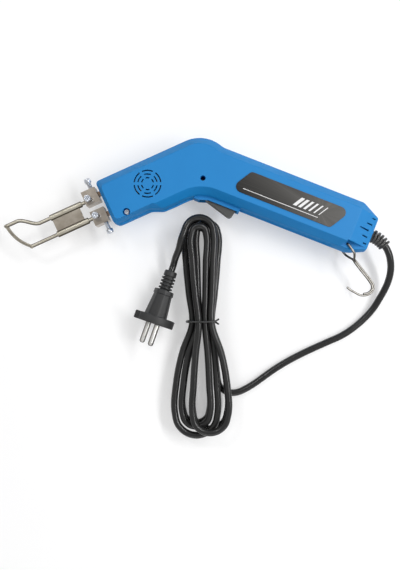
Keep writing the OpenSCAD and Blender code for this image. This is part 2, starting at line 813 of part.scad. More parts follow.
module right_shell()
    color("steelblue")
    difference() {
        union() {
            flipped() half_solid();
            for (p = post_places)
                on_handle(p[0], p[1], -switch_half - overlap) cylinder(r = post_pin_r, h = switch_thick);
            on_handle() {
                span(
                    [spring_s - spring_d / 2 - 1, spring_top, -inner_top - overlap],
                    [spring_s + spring_d / 2 + 1, spring_top + ledge_t, spring_d / 2]
                );
                for (side = [-1, 1])
                    translate([clamp_at, relief_t + side * clamp_pitch / 2, -inner_top - overlap])
                        cylinder(r = 3, h = inner_top + overlap + cord_r + seat_gap);
                span(
                    [clamp_at - 2.5, relief_t - clamp_pitch / 2, -inner_top - overlap],
                    [clamp_at + 2.5, relief_t + clamp_pitch / 2, -cord_r - seat_gap]
                );
            }
        }
        flipped() half_openings();
        for (p = [front_screw, mid_screw, label_screw])
            translate([p[0], p[1], mid_z - screw_grip - overlap])
                cylinder(d = shell_screw_d + 2 * seat_gap, h = screw_grip + 2 * overlap);
        for (side = [-1, 1])
            on_handle(clamp_at, relief_t + side * clamp_pitch / 2, -8)
                cylinder(d = grip_screw_d + 2 * seat_gap, h = 8 + cord_r + overlap);
    }

// A pan head screw pointing down, with a cross slot, its head's underside at the origin
module pan_screw(d, length, head_d, head_h)
    difference() {
        rotate_extrude()
            polygon([
                [0, -length], [d / 2 - 0.4, -length], [d / 2, -length + 1.2], [d / 2, 0],
                [head_d / 2, 0], [head_d / 2, head_h * 0.6], [head_d / 2 - 0.5, head_h], [0, head_h]
            ]);
        for (turn = [0, 90])
            rotate(turn) translate([-head_d * 0.3, -0.4, head_h * 0.4]) cube([head_d * 0.6, 0.8, head_h]);
    }

module shell_screws()
    color("lightsteelblue") {
        for (p = deep_screws)
            translate([p[0], p[1], mid_z + deep_seat])
                pan_screw(shell_screw_d, deep_seat + screw_grip, shell_head_d, shell_head_h);
        translate([front_screw[0], front_screw[1], mid_z + front_top])
            pan_screw(shell_screw_d, front_top + screw_grip, shell_head_d + 0.6, shell_head_h);
    }

module label_plate()
    color("dimgray")
    on_handle(handle_len - label_back, label_low, mid_z)
        linear_extrude(label_t)
            polygon(rounded([
                [0, 0, 5, 5], [label_len, 0, 3.5, 5],
                [label_len + label_slant, label_h, 5, 5], [label_slant, label_h, 3.5, 5]
            ]));

module trigger()
    color("dimgray")
    on_handle(pivot_s, pivot_t, -trigger_half)
        difference() {
            linear_extrude(trigger_thick)
                polygon(rounded([
                    [-3.3, trigger_rise, 2, 4], [trigger_len, trigger_rise, 2, 4],
                    [trigger_len, -trigger_drop / 2, 1, 3], [trigger_len - 1.6, -trigger_drop, 3, 6],
                    [0.8, -trigger_drop / 2 - 0.4, 2, 4], [-3.3, -2.4, 1.6, 4]
                ]));
            translate([0, 0, -overlap]) cylinder(d = pin_d + 2 * run_gap, h = trigger_thick + 2 * overlap);
        }

module trigger_pin()
    color("silver")
    on_handle(pivot_s, pivot_t, -trigger_half - 6)
        cylinder(d = pin_d, h = trigger_thick + 12);

spring_low = trigger_in + move_gap;
spring_span = spring_top - seat_gap - spring_low - spring_wire;
spring_route = [
    for (i = [0 : spring_turns * 12])
        let (a = 30 * i, r = (spring_d - spring_wire) / 2)
        handle_pt3(
            spring_s + r * cos(a),
            spring_low + spring_wire / 2 + spring_span * i / (spring_turns * 12),
            r * sin(a)
        )
];

module trigger_spring()
    color("silver") tube(spring_route, spring_wire / 2, 6);

module switch_body()
    color("darkslategray")
    on_handle()
        difference() {
            span([switch_s, switch_low, -switch_half], [switch_s + switch_len, switch_top, switch_half]);
            for (p = post_places)
                translate([p[0], p[1], -switch_half - overlap])
                    cylinder(r = post_pin_r + seat_gap, h = switch_thick + 2 * overlap);
            translate([button_s, switch_low - overlap, 0])
                rotate([-90, 0, 0]) cylinder(d = button_d + 2 * run_gap, h = button_in + 3 + overlap);
        }

module switch_button()
    color("white")
    on_handle(button_s, trigger_in + move_gap, 0)
        rotate([-90, 0, 0]) cylinder(d = button_d, h = switch_gap - move_gap + button_in);

module switch_tabs()
    color("gold")
    on_handle()
        for (s = tab_places)
            span([s - 0.4, switch_top, -tab_w / 2], [s + 0.4, switch_top + tab_len, tab_w / 2]);

module transformer_core()
    color("dimgray")
    on_nose()
        difference() {
            span([-core_front, core_v, -core_half], [-core_rear, core_v + core_stack, core_half]);
            span(
                [-window_front, core_v - overlap, -window_half],
                [-window_rear, core_v + core_stack + overlap, window_half]
            );
        }

module core_strap()
    color("silver")
    on_nose()
        difference() {
            span(
                [-core_front - strap_t, blade_v - strap_w / 2, -core_half - strap_t],
                [-window_rear, blade_v + strap_w / 2, core_half + strap_t]
            );
            span(
                [-core_front, blade_v - strap_w, -core_half],
                [overlap, blade_v + strap_w, core_half]
            );
        }

// A box round the rear limb, out from it by a margin on all four sides
module round_limb(margin, half)
    span(
        [-window_rear - margin, core_v - margin, -half],
        [-core_rear + margin, core_v + core_stack + margin, half]
    );

bobbin_half = window_half - 0.2;

module bobbin()
    color("ivory")
    on_nose()
        difference() {
            union() {
                round_limb(tube_out, bobbin_half);
                for (side = [0, 1])
                    translate([0, 0, side ? bobbin_half - flange_t / 2 : flange_t / 2 - bobbin_half])
                        round_limb(flange_out, flange_t / 2);
            }
            round_limb(bobbin_gap, core_half);
        }

module primary_coil()
    color("peru")
    on_nose()
        difference() {
            round_limb(coil_out, bobbin_half - flange_t);
            round_limb(tube_out, core_half);
        }

module conductor_bar()
    color("peru")
    on_nose()
        for (v = [lower_leg, upper_leg])
            union() {
                span([-bar_end, v - bar_t / 2, -bar_w / 2], [-cross_u, v + bar_t / 2, bar_w / 2]);
                span(
                    [-cross_u - bar_t, lower_leg - bar_t / 2, -bar_w / 2],
                    [-cross_u, upper_leg + bar_t / 2, bar_w / 2]
                );
            }

module nose_insulator()
    color("wheat")
    on_nose()
        difference() {
            union() {
                span(
                    [-flange_u, blade_v - neck_half_v - 1.2, -neck_half_z - 3],
                    [-flange_u + insulator_flange, blade_v + neck_half_v + 1.2, neck_half_z + 3]
                );
                span(
                    [-nose_len + 0.4, blade_v - neck_half_v, -neck_half_z],
                    [-flange_u + overlap, blade_v + neck_half_v, neck_half_z]
                );
            }
            for (v = [lower_leg, upper_leg])
                span(
                    [-nose_len - overlap, v - bar_t / 2 - seat_gap, -bar_w / 2 - seat_gap],
                    [-flange_u + insulator_flange + overlap, v + bar_t / 2 + seat_gap, bar_w / 2 + seat_gap]
                );
        }

// A clamp block round one leg and one rod; out is +1 for the upper and -1 for the lower one
module clamp_block(leg_v, rod_v, out)
    on_nose()
        difference() {
            span([-block_end, leg_v - block_half, -block_h / 2], [-block_u, leg_v + block_half, block_h / 2]);
            span(
                [-bar_end - seat_gap, leg_v - bar_t / 2 - seat_gap, -bar_w / 2 - seat_gap],
                [-block_u + overlap, leg_v + bar_t / 2 + seat_gap, bar_w / 2 + seat_gap]
            );
            translate([-block_end - overlap, rod_v, 0])
                rotate([0, 90, 0])
                    cylinder(d = rod_d + 2 * seat_gap, h = block_end - rod_u + overlap + seat_gap);
            translate([-side_screw_u, leg_v, 0])
                rotate([-90 * out, 0, 0]) cylinder(d = clamp_screw_d + 2 * seat_gap, h = block_w);
            translate([-face_screw_u, rod_v, 0])
                cylinder(d = clamp_screw_d + 2 * seat_gap, h = block_h);
        }

module upper_clamp_block() color("rosybrown") clamp_block(upper_leg, upper_rod_v, 1);

module lower_clamp_block() color("rosybrown") clamp_block(lower_leg, lower_rod_v, -1);

// A socket head screw standing on its tip, which is at the origin
module socket_screw(shank)
    difference() {
        union() {
            cylinder(r = clamp_r, h = shank);
            translate([0, 0, shank]) cylinder(d = clamp_head_d, h = clamp_head_h);
        }
        translate([0, 0, shank + clamp_head_h * 0.4])
            cylinder(r = clamp_head_d * 0.28, h = clamp_head_h, $fn = 6);
    }

module block_screws()
    color("silver")
    for (v = [lower_rod_v, upper_rod_v])
        on_nose(face_screw_u, v, rod_r + seat_gap)
            socket_screw(block_h / 2 - rod_r - seat_gap + face_stand);

module side_screws()
    color("lightsteelblue")
    for (out = [-1, 1])
        on_nose(side_screw_u, blade_v + out * (leg_pitch / 2 + bar_t / 2 + seat_gap), 0)
            rotate([-90 * out, 0, 0]) socket_screw(block_half - bar_t / 2 - seat_gap + side_stand);

module blade_sleeve()
    color("gainsboro")
    on_nose(sleeve_end)
        difference() {
            union() {
                for (v = [lower_rod_v, upper_rod_v])
                    translate([0, v, 0]) rotate([0, 90, 0]) cylinder(d = sleeve_d, h = sleeve_len);
                span([1, lower_rod_v, -web_t / 2], [sleeve_len - 3, upper_rod_v, web_t / 2]);
            }
            for (v = [lower_rod_v, upper_rod_v])
                translate([-overlap, v, 0]) rotate([0, 90, 0])
                    cylinder(d = rod_d + 2 * seat_gap, h = sleeve_len + 2 * overlap);
        }

// The upper rod leaves the line of its sleeve, rises, and runs level again to its tip
flare_u = low_tip_u - 15;
flare_len = tip_u - 10 - flare_u;
upper_rod_route = concat(
    [nose_pt3(rod_u, upper_rod_v, 0), nose_pt3(flare_u - 12, upper_rod_v, 0)],
    [for (i = [0 : 8]) nose_pt3(flare_u + flare_len * i / 8, upper_rod_v + tip_rise * ease(i / 8), 0)],
    [nose_pt3(tip_u + rod_r, tip_v, 0)]
);

module upper_rod() color("gainsboro") tube(upper_rod_route, rod_r, 16);

module lower_rod()
    color("gainsboro")
    on_nose(low_tip_u + rod_r, lower_rod_v, 0)
        rotate([0, 90, 0]) cylinder(r = rod_r, h = low_tip_u + rod_r - rod_u);

// The strip bows outwards from tip to tip and is sharp on its outer side
strip_chord = [tip_reach, tip_v - lower_rod_v];
strip_half = norm(strip_chord) / 2;
strip_out = [strip_chord[1], -strip_chord[0]] / (2 * strip_half);
strip_mid = [low_tip_u, lower_rod_v] + strip_chord / 2;
strip_centre = strip_mid - strip_out * sqrt(strip_r * strip_r - strip_half * strip_half);
strip_turn = 2 * asin(strip_half / strip_r);
strip_dir = atan2(strip_out[1], -strip_out[0]);

module cutting_strip()
    color("slategray")
    on_nose(strip_centre[0], strip_centre[1], 0)
        rotate(strip_dir - strip_turn / 2)
            rotate_extrude(angle = strip_turn, $fn = 96)
                polygon([
                    [strip_r - strip_w / 2, -strip_t / 2], [strip_r, -strip_t / 2],
                    [strip_r + strip_w / 2, 0], [strip_r, strip_t / 2],
                    [strip_r - strip_w / 2, strip_t / 2]
                ]);

// The hook's wire, from its hole: level legs, a doubled shank and one wire round the open bend
hook_shank = [
    [9.4, -13.3], [16.4, -22.4], [23.4, -31.4]
];
hook_bend = [
    [25.8, -35.8], [25.6, -39.2], [23, -42.2], [19, -43.6],
    [14.6, -43.4], [10.2, -41.7], [5.8, -39.2], [3.2, -37.1]
];
hook_dir = unit(hook_shank[0]);
function hook_leg_route(side) = concat(
    [
        [each (-hook_r * 0.8 * hook_dir), side * hook_leg_z],
        [each (hook_leg * hook_dir), side * hook_leg_z]
    ],
    [for (p = hook_shank) [p[0], p[1], side * hook_r * 0.9]]
);

module hook()
    color("silver") {
        translate([each hook_hole, mid_z]) {
            tube(concat(hook_leg_route(1), [for (p = hook_bend) [p[0], p[1], 0]]), hook_r, 8);
            tube(hook_leg_route(-1), hook_r, 8);
            for (side = [0, 1])
                translate([0, 0, side ? hook_leg_z - hook_pin_len : -hook_leg_z])
                    cylinder(r = hook_r, h = hook_pin_len);
        }
    }

// Strain relief: a neck in the end wall, a flange behind it and a bent row of tapering fins
fin_pitch = relief_len / relief_fins;
fin_t = fin_pitch * 0.52;
fin_depth = 2.2;
function fin_r(x) = relief_d / 2 - 0.9 * x / relief_len;
relief_steps = [
    for (i = [0 : relief_fins - 1]) each [
        [i * fin_pitch, 0], [i * fin_pitch + fin_t, 0],
        [i * fin_pitch + fin_t + 0.1, 1], [(i + 1) * fin_pitch - 0.1, 1]
    ]
];
relief_route = [for (x = relief_steps) relief_at(x[0] + 0.5)];
relief_radii = [for (x = relief_steps) fin_r(x[0]) - fin_depth * x[1]];

module strain_relief()
    color("black") {
        tube(concat(relief_route, [relief_exit]), concat(relief_radii, [cord_r + 0.6]), 16);
        on_handle(handle_len, relief_t, 0)
            rotate([0, 90, 0]) rotate_extrude()
                polygon([
                    [0, -9], [relief_d / 2, -9], [relief_d / 2, -6], [relief_neck_d / 2, -6],
                    [relief_neck_d / 2, 2], [0, 2]
                ]);
    }

module cord_tail()
    color("black")
    on_handle(tail_end, relief_t, 0) rotate([0, 90, 0]) cylinder(r = cord_r, h = handle_len - 9 - tail_end);

module cord_clamp()
    color("dimgray")
    on_handle()
        difference() {
            span(
                [clamp_at - 4, relief_t - clamp_pitch / 2 - 3.5, cord_r + seat_gap],
                [clamp_at + 4, relief_t + clamp_pitch / 2 + 3.5, cord_r + seat_gap + 3]
            );
            for (side = [-1, 1])
                translate([clamp_at, relief_t + side * clamp_pitch / 2, 0])
                    cylinder(d = grip_screw_d + 2 * seat_gap, h = mid_z);
        }

module clamp_screws()
    color("silver")
    for (side = [-1, 1])
        on_handle(clamp_at, relief_t + side * clamp_pitch / 2, cord_r + seat_gap + 3)
            pan_screw(grip_screw_d, 9, grip_screw_d + 2.4, 1.8);

// Single wires inside, from the cord's end and the switch to the winding. In the handle a point is
// [share of the way from the cord's end, height across, height over the parting plane].
live_s = tab_places[1] + 3;
live_run = [
    [0.1, 8.2, 0], [0.28, 12, 0], [0.47, 16, 0], [0.66, 19.6, 0],
    [0.84, 22, 0], [0.94, 22.6, 0], [1, 22.2, 0]
];
live_route = concat(
    [[tail_end, relief_t + 1.5, 0]],
    [for (p = live_run) [tail_end + p[0] * (live_s - tail_end), p[1], p[2]]],
    [[tab_places[1], switch_top + tab_len + 1.6, 0], [tab_places[1], switch_top + tab_len, 0]]
);
neutral_s = switch_s - 4;
neutral_run = [
    [0.08, 4.6, -1], [0.22, 8.4, -4], [0.36, 12.6, -6.5], [0.51, 16.4, -8],
    [0.7, 20, -8.5], [0.86, 21.6, -8.5], [1, 20.5, -8]
];
neutral_route = concat(
    [[tail_end, relief_t - 1.5, 0]],
    [for (p = neutral_run) [tail_end + p[0] * (neutral_s - tail_end), p[1], p[2]]]
);

module live_lead()
    color("firebrick") tube([for (p = live_route) handle_pt3(p[0], p[1], p[2])], lead_d / 2, 8);

module neutral_lead()
    color("royalblue")
    tube(
        concat(
            [for (p = neutral_route) handle_pt3(p[0], p[1], p[2])],
            [
                for (p = [[-25, 18.5, -7], [-13, 17.5, -5], [-5, 17, -4], [0, 17, -4]])
                    nose_pt3(coil_rear + p[0], p[1], p[2])
            ]
        ),
        lead_d / 2, 8
    );

module switch_lead()
    color("black")
    tube(
        concat(
            [
                for (p = [[0, 0, 0], [0, 1.6, 0], [-2, 4, 0.6], [-6, 4.6, 1.5]])
                    handle_pt3(tab_places[0] + p[0], switch_top + tab_len + p[1], p[2])
            ],
            [
                for (p = [[-31, 18, 3], [-19, 11, 4], [-7, 8, 4], [0, 8, 4]])
                    nose_pt3(coil_rear + p[0], p[1], p[2])
            ]
        ),
        lead_d / 2, 8
    );

module supply_cord()
    color("black")
    tube(
        concat(
            [relief_exit, relief_exit + cord_r / 2 * relief_exit_dir],
            supply_route,
            [hank_in - cord_d * hank_in_dir, hank_in]
        ),
        cord_r, 10
    );

module cord_hank() color("black") tube(hank_route, cord_r, 6);

module hank_tie() color("black") tube(tie_route, tie_r, 6);

module plug_lead()
    color("black")
    tube(
        concat(
            [hank_out, hank_out + cord_d * hank_out_dir],
            lead_route,
            [boot_end - cord_d * plug_axis, boot_end]
        ),
        cord_r, 10
    );

module at_plug()
    translate(plug_at) rotate([0, -plug_tilt, plug_heading]) rotate([plug_roll, 0, 0]) children();

// Plug: a section of 16 points between an oval and a box, at a place along the axis
function plug_ring(x, half_y, half_z) = [
    for (k = [0 : 15])
        let (a = 22.5 * k, c = cos(a), s = sin(a))
        [x, -half_y * sign(c) * pow(abs(c), 0.7), half_z * sign(s) * pow(abs(s), 0.7)]
];
boot_ribs = 4;
boot_start = -plug_face_t - plug_grip_len;
boot_pitch = (boot_len - 3) / boot_ribs;
plug_rings = concat(
    [
        [boot_start - boot_len, 5, 5], [boot_start - boot_len + 2.6, 5.4, 5.4]
    ],
    [
        for (i = [0 : boot_ribs - 1], edge = [0, 1, 2, 3])
            let (
                x = boot_start - boot_len + 2.8 + boot_pitch * (i + [0, 0.04, 0.6, 0.64][edge]),
                r = 6.1 + 0.12 * i
            )
            edge == 0 || edge == 3 ? [x, r - 1.5, r - 1.5] : [x, r, r]
    ],
    [
        [boot_start, 8.4, 7], [boot_start + 1, 9.2, 7.8],
        [boot_start + 5, 9.2, 7.8], [boot_start + 6, 8.6, 7.4],
        [boot_start + plug_grip_len - 6, 10.6, 9], [boot_start + plug_grip_len + 0.5, 11.4, 9.6]
    ]
);

module plug_body()
    color("black")
    at_plug() {
        skin([for (r = plug_rings) plug_ring(r[0], r[1], r[2])]);
        rotate([0, -90, 0])
            linear_extrude(plug_face_t)
                difference() {
                    circle(d = plug_face_d);
                    for (side = [-1, 1])
                        translate([side * plug_face_d / 2, 0]) square([7, 9], center = true);
                }
    }

module plug_pins()
    color("silver")
    at_plug()
        for (side = [-1, 1])
            translate([0, side * plug_pitch / 2, 0]) rotate([0, 90, 0])
                rotate_extrude()
                    polygon([
                        [0, 0], [plug_pin_d / 2, 0], [plug_pin_d / 2, plug_pin_len - 1.4],
                        [plug_pin_d / 2 - 1.2, plug_pin_len], [0, plug_pin_len]
                    ]);

left_shell();
right_shell();
shell_screws();
label_plate();
trigger();
trigger_pin();
trigger_spring();
switch_body();
switch_button();
switch_tabs();
transformer_core();
core_strap();
bobbin();
primary_coil();
conductor_bar();
nose_insulator();
upper_clamp_block();
lower_clamp_block();
block_screws();
side_screws();
blade_sleeve();
upper_rod();
lower_rod();
cutting_strip();
hook();
strain_relief();
cord_tail();
cord_clamp();
clamp_screws();
live_lead();
switch_lead();
neutral_lead();
supply_cord();
cord_hank();
hank_tie();
plug_lead();
plug_body();
plug_pins();
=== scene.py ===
# %% [markdown]
# # An electric hot knife, dressed in Blender
# The tool is a blue plastic housing with a heated blade loop in front, a trigger below, a hanging hook
# behind and a mains lead tied in a hank. Its solids come ready made as the frame. This lesson gives every
# solid its finish, and makes the soft, bent and threaded pieces again as fine surfaces worked out with numpy.

# %% Load the frame
import math

import bmesh
import bpy
import numpy as np
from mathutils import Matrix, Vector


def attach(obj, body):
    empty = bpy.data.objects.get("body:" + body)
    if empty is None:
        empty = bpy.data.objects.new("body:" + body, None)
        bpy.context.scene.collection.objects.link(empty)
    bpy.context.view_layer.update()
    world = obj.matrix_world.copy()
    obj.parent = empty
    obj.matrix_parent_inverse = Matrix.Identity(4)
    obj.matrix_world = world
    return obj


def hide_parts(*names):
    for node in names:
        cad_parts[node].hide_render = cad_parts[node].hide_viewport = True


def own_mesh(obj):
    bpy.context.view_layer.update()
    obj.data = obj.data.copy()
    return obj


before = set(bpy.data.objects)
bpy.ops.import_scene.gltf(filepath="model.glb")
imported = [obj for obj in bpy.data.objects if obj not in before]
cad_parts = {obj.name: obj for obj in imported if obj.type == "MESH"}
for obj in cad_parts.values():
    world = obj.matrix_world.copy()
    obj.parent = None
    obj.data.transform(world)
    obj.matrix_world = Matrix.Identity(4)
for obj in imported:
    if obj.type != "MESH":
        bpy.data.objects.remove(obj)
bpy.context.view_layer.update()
MM = 0.001

# %% [markdown]
# ## Camera
# The tool was photographed from above while it lay on a table, so the camera looks straight down.
# A camera looks along its own -Z with +Y up, so it needs no turning here, only its place and its lens.
# The lens is the focal length in pixels, as a share of the image's long side, times the sensor's width.

# %% Camera straight above the table
CAMERA_PLACE = (0.4 * MM, -97 * MM, 480 * MM)
FOCAL_PIXELS, LONG_SIDE_PIXELS = 523, 570
SENSOR_MM = 36
NEAREST_SEEN = 10 * MM


def show(name, data):
    """A new object for a mesh, a light or a camera, linked to the scene."""
    made = bpy.data.objects.new(name, data)
    bpy.context.scene.collection.objects.link(made)
    return made


camera = show("camera", bpy.data.cameras.new("camera"))
camera.location = CAMERA_PLACE
camera.data.sensor_width = SENSOR_MM
camera.data.lens = FOCAL_PIXELS / LONG_SIDE_PIXELS * SENSOR_MM
camera.data.clip_start = NEAREST_SEEN
bpy.context.scene.camera = camera
print("camera lens:", round(camera.data.lens, 2), "mm")

# %% [markdown]
# ## Places on the tool
# The nose and the handle lean away from the head at different angles. Measuring along and across each of
# them keeps the numbers round: u and v on the nose, s and t on the handle, z over the parting plane.

# %% Nose and handle places
NOSE_TILT = math.radians(24.4)
HANDLE_TILT = math.radians(21.4)
MID_Z = 21 * MM


def turned_points(x, y, z, tilt):
    """Points in metres from millimetres: turn (x, y) by the tilt, and lift z over the parting plane."""
    x, y, z = np.broadcast_arrays(x, y, z)
    turned_x = x * math.cos(tilt) - y * math.sin(tilt)
    turned_y = x * math.sin(tilt) + y * math.cos(tilt)
    return np.stack([turned_x, turned_y, z], -1) * MM + [0, 0, MID_Z]


def nose_points(u, v, z):
    """Points from nose places: (-u, v) turned by the nose's tilt."""
    return turned_points(-np.asarray(u), v, z, NOSE_TILT)


def handle_points(s, t, z):
    """Points from handle places: (s, t) turned by minus the handle's tilt."""
    return turned_points(s, t, z, -HANDLE_TILT)


def unit(vectors):
    """Each vector divided by its length."""
    vectors = np.asarray(vectors, float)
    return vectors / np.linalg.norm(vectors, axis=-1, keepdims=True)


print("head centre:", nose_points(0, 0, 0))

# %% [markdown]
# ## From a grid of points to a mesh
# Most new pieces are rings of points in a row, such as the rings of a cord. A mesh needs the points and,
# for each face, the numbers of its corners. With the points numbered ring by ring, the four corners of
# every face follow from one array of numbers, so no loop over the points is needed. Each open end is closed
# with a fan round its middle point. A UV map keeps the way along and round for patterns that follow it.

# %% Rings to mesh
def full_turn(sides):
    """Even angles once round; the last one stops short of the first."""
    return np.linspace(0, 2 * math.pi, sides, endpoint=False)


def rings_mesh(rings, along=None):
    """A closed mesh over rings of points, shape (rings, points round, 3).

    Face (i, k) joins points k and k+1 of ring i to those of ring i+1; a fan closes each end.
    UV: u is the way along in metres (or the ring's number), v the share of the way round."""
    rows, sides, _ = rings.shape
    points = np.concatenate([rings.reshape(-1, 3), rings[[0, -1]].mean(axis=1)])
    i, k = np.meshgrid(np.arange(rows - 1), np.arange(sides), indexing="ij")
    corner_i = np.stack([i, i, i + 1, i + 1], -1)
    corner_k = np.stack([k, k + 1, k + 1, k], -1)
    quads = corner_i * sides + corner_k % sides
    here = np.arange(sides)
    after = (here + 1) % sides
    last = (rows - 1) * sides
    low_fan = np.stack([after, here, np.full(sides, rows * sides)], -1)
    high_fan = np.stack([last + here, last + after, np.full(sides, rows * sides + 1)], -1)
    faces = quads.reshape(-1, 4).tolist() + low_fan.tolist() + high_fan.tolist()

    mesh = bpy.data.meshes.new("rings")
    mesh.from_pydata(points.tolist(), [], faces)
    along = np.arange(rows) if along is None else along
    u = np.concatenate([along[corner_i].reshape(-1), np.repeat(along[[0, -1]], 3 * sides)])
    v = np.concatenate([corner_k.reshape(-1) / sides, np.zeros(6 * sides)])
    mesh.uv_layers.new(name="way").data.foreach_set("uv", np.stack([u, v], -1).reshape(-1))
    mesh.shade_smooth()
    return mesh


def piece(name, *meshes, body="housing"):
    """An object at the origin for one mesh, or for several joined into one, riding on a body of the frame."""
    mesh = meshes[0]
    if len(meshes) > 1:
        mesh = bpy.data.meshes.new(name)
        whole = bmesh.new()
        for part in meshes:
            whole.from_mesh(part)
            bpy.data.meshes.remove(part)
        whole.to_mesh(mesh)
        whole.free()
    mesh.name = name
    made = show(name, mesh)
    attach(made, body)
    print(name, "has", len(mesh.vertices), "points")
    return made


print("mesh helpers ready")

# %% [markdown]
# ## A section carried along a path
# A cord, a rod and a bent wire are all a round section carried along a line. At each point of the line the
# section lies square to it: one axis comes from a vector that is never in line with the path, made square to
# it, and the other axis is square to both.

# %% Smooth paths and tubes
CUBIC_CUTS = 24


def way_along(path):
    """Distance from the path's first point to each of its points."""
    return np.concatenate([[0], np.cumsum(np.linalg.norm(np.diff(path, axis=0), axis=1))])


def smooth_path(points, spacing):
    """Even points on a smooth curve through the given ones.

    Each stretch is a cubic: it starts and ends at two neighbours with the slopes of the neighbours around
    them, weighted by the distances between them. The curve is then measured and cut in even steps."""
    points = np.asarray(points, float)
    gaps = np.linalg.norm(np.diff(points, axis=0), axis=1)
    steps = np.diff(points, axis=0) / gaps[:, None]
    weight = (gaps[:-1] / (gaps[:-1] + gaps[1:]))[:, None]
    slopes = np.concatenate([steps[:1], steps[:-1] * (1 - weight) + steps[1:] * weight, steps[-1:]])
    x = np.linspace(0, 1, CUBIC_CUTS, endpoint=False)[:, None, None]
    a, b = points[:-1], points[1:]
    da, db = slopes[:-1] * gaps[:, None], slopes[1:] * gaps[:, None]
    cubic = ((1 + 2 * x) * (1 - x) ** 2 * a + x * (1 - x) ** 2 * da
             + x ** 2 * (3 - 2 * x) * b + x ** 2 * (x - 1) * db)
    dense = np.concatenate([cubic.transpose(1, 0, 2).reshape(-1, 3), points[-1:]])
    way = way_along(dense)
    even = np.linspace(0, way[-1], max(2, round(way[-1] / spacing)) + 1)
    return np.stack([np.interp(even, way, dense[:, axis]) for axis in range(3)], -1)


def tube_rings(path, radius, sides, across=(0, 0, 1)):
    """Rings of a tube: each path point plus radius times a circle on the two axes square to the path.

    radius is a number, one per path point, or one per path point and side."""
    path = np.asarray(path, float)
    ahead = unit(np.gradient(path, axis=0))
    across = np.broadcast_to(np.asarray(across, float), path.shape)
    first = unit(across - (across * ahead).sum(-1, keepdims=True) * ahead)
    second = np.cross(ahead, first)
    turn = full_turn(sides)[None, :, None]
    radius = np.asarray(radius, float)
    radius = radius.reshape(radius.shape + (1,) * (2 - radius.ndim))[..., None]
    circle = np.cos(turn) * first[:, None] + np.sin(turn) * second[:, None]
    return path[:, None] + radius * circle


def rod_rings(path, radius, edge, sides, across=(0, 0, 1)):
    """Rings of a tube whose ends are rounded by a quarter circle of the given edge size."""
    way = way_along(path)
    near = np.minimum(np.minimum(way, way[-1] - way) / edge, 1)
    return tube_rings(path, radius - edge * (1 - np.sqrt(1 - (1 - near) ** 2)), sides, across)


print("tube helpers ready")

# %% [markdown]
# ## Mains cord
# The lead is a round black two-core cord, 6 mm thick, seen from end to end: out of the bend protector, along
# the table, folded into a hank of long loops drawn in at the waist, and out again to the plug. It could be
# simulated, but the loops would then fall where they like. Here they follow the same route as the solid:
# points listed for the free stretches, and a rule for the loops, which spiral in, climb a layer and
# spiral out.

# %% Route of the free stretches
CORD_R = 3.0
TABLE_GAP = 0.1
HANDLE_LEN = 160
RELIEF_LEN, RELIEF_T = 15, 5
RELIEF_BEND = RELIEF_LEN / math.radians(32)


def relief_path(x):
    """Points along the bend protector: an arc that starts along the handle and turns down."""
    turn = -HANDLE_TILT - np.asarray(x, float) / RELIEF_BEND
    arc = RELIEF_BEND * np.stack([-np.sin(turn), np.cos(turn), 0 * turn], -1)
    root = RELIEF_BEND * np.array([math.sin(HANDLE_TILT), math.cos(HANDLE_TILT), 0])
    return handle_points(HANDLE_LEN, RELIEF_T, 0) + (arc - root) * MM


SUPPLY_ROUTE = [
    (166.3, -69.4, 20.5), (168.1, -75, 19.2), (169.3, -81.5, 17), (169.4, -88.2, 14.5), (168.3, -95, 12),
    (166.2, -101.5, 9.6), (163.4, -108, 7.2), (157.4, -119, 4.4), (149.8, -127.8, 3.3), (140, -136.3, 3.1),
    (128.6, -143.6, 3.1), (119, -147.9, 3.1), (108.6, -152.5, 3.1), (97, -157.8, 3.1), (86.6, -163, 3.1),
    (77.2, -168.2, 3.1), (67.9, -174, 3.1), (58.4, -180.7, 3.1), (50.2, -186.6, 3.1), (42.6, -191.2, 3.1),
    (35.6, -194.4, 3.1), (28.8, -195.2, 3.1), (22.6, -193.2, 3.1), (18.4, -189, 3.1),
]
LEAD_ROUTE = [(-18.5, -66.2, 20), (-21.1, -72.4, 17.2)]
print("free points:", len(SUPPLY_ROUTE) + len(LEAD_ROUTE))

# %% Loops of the hank
HANK_X = 3
WAIST_Y, TOP_FOLD_Y, LOW_FOLD_Y = -129.4, -51.1, -210.8
WAIST_STEP, TOP_STEP, LOW_STEP = 7.5, 7.5, 8
TOP_CORE, LOW_CORE = 3.8, 9.4
TOP_LEAN, LOW_LEAN = 2.8, 5.5
TOP_POWER, LOW_POWER = 2, 2.5
OUTER_RANK, LAYER_STEP = 1.25, 6.7
WAIST_LIFT, WAIST_SOFT = 2.4, 0.08
RINGS_PER_HALF, FIRST_RING, LAST_RING, LEAD_IN = 12, 5, 134, 20


def lobe_share(y):
    """Share of a lobe's full width at a height: 0 at the waist, rising on a round curve to 1 at the fold."""
    top = y > WAIST_Y
    reach = np.abs(y - WAIST_Y) / np.abs(np.where(top, TOP_FOLD_Y, LOW_FOLD_Y) - WAIST_Y)
    soft = (np.hypot(reach, WAIST_SOFT) - WAIST_SOFT) / (math.hypot(1, WAIST_SOFT) - WAIST_SOFT)
    return 1 - (1 - np.minimum(1, soft)) ** np.where(top, TOP_POWER, LOW_POWER)


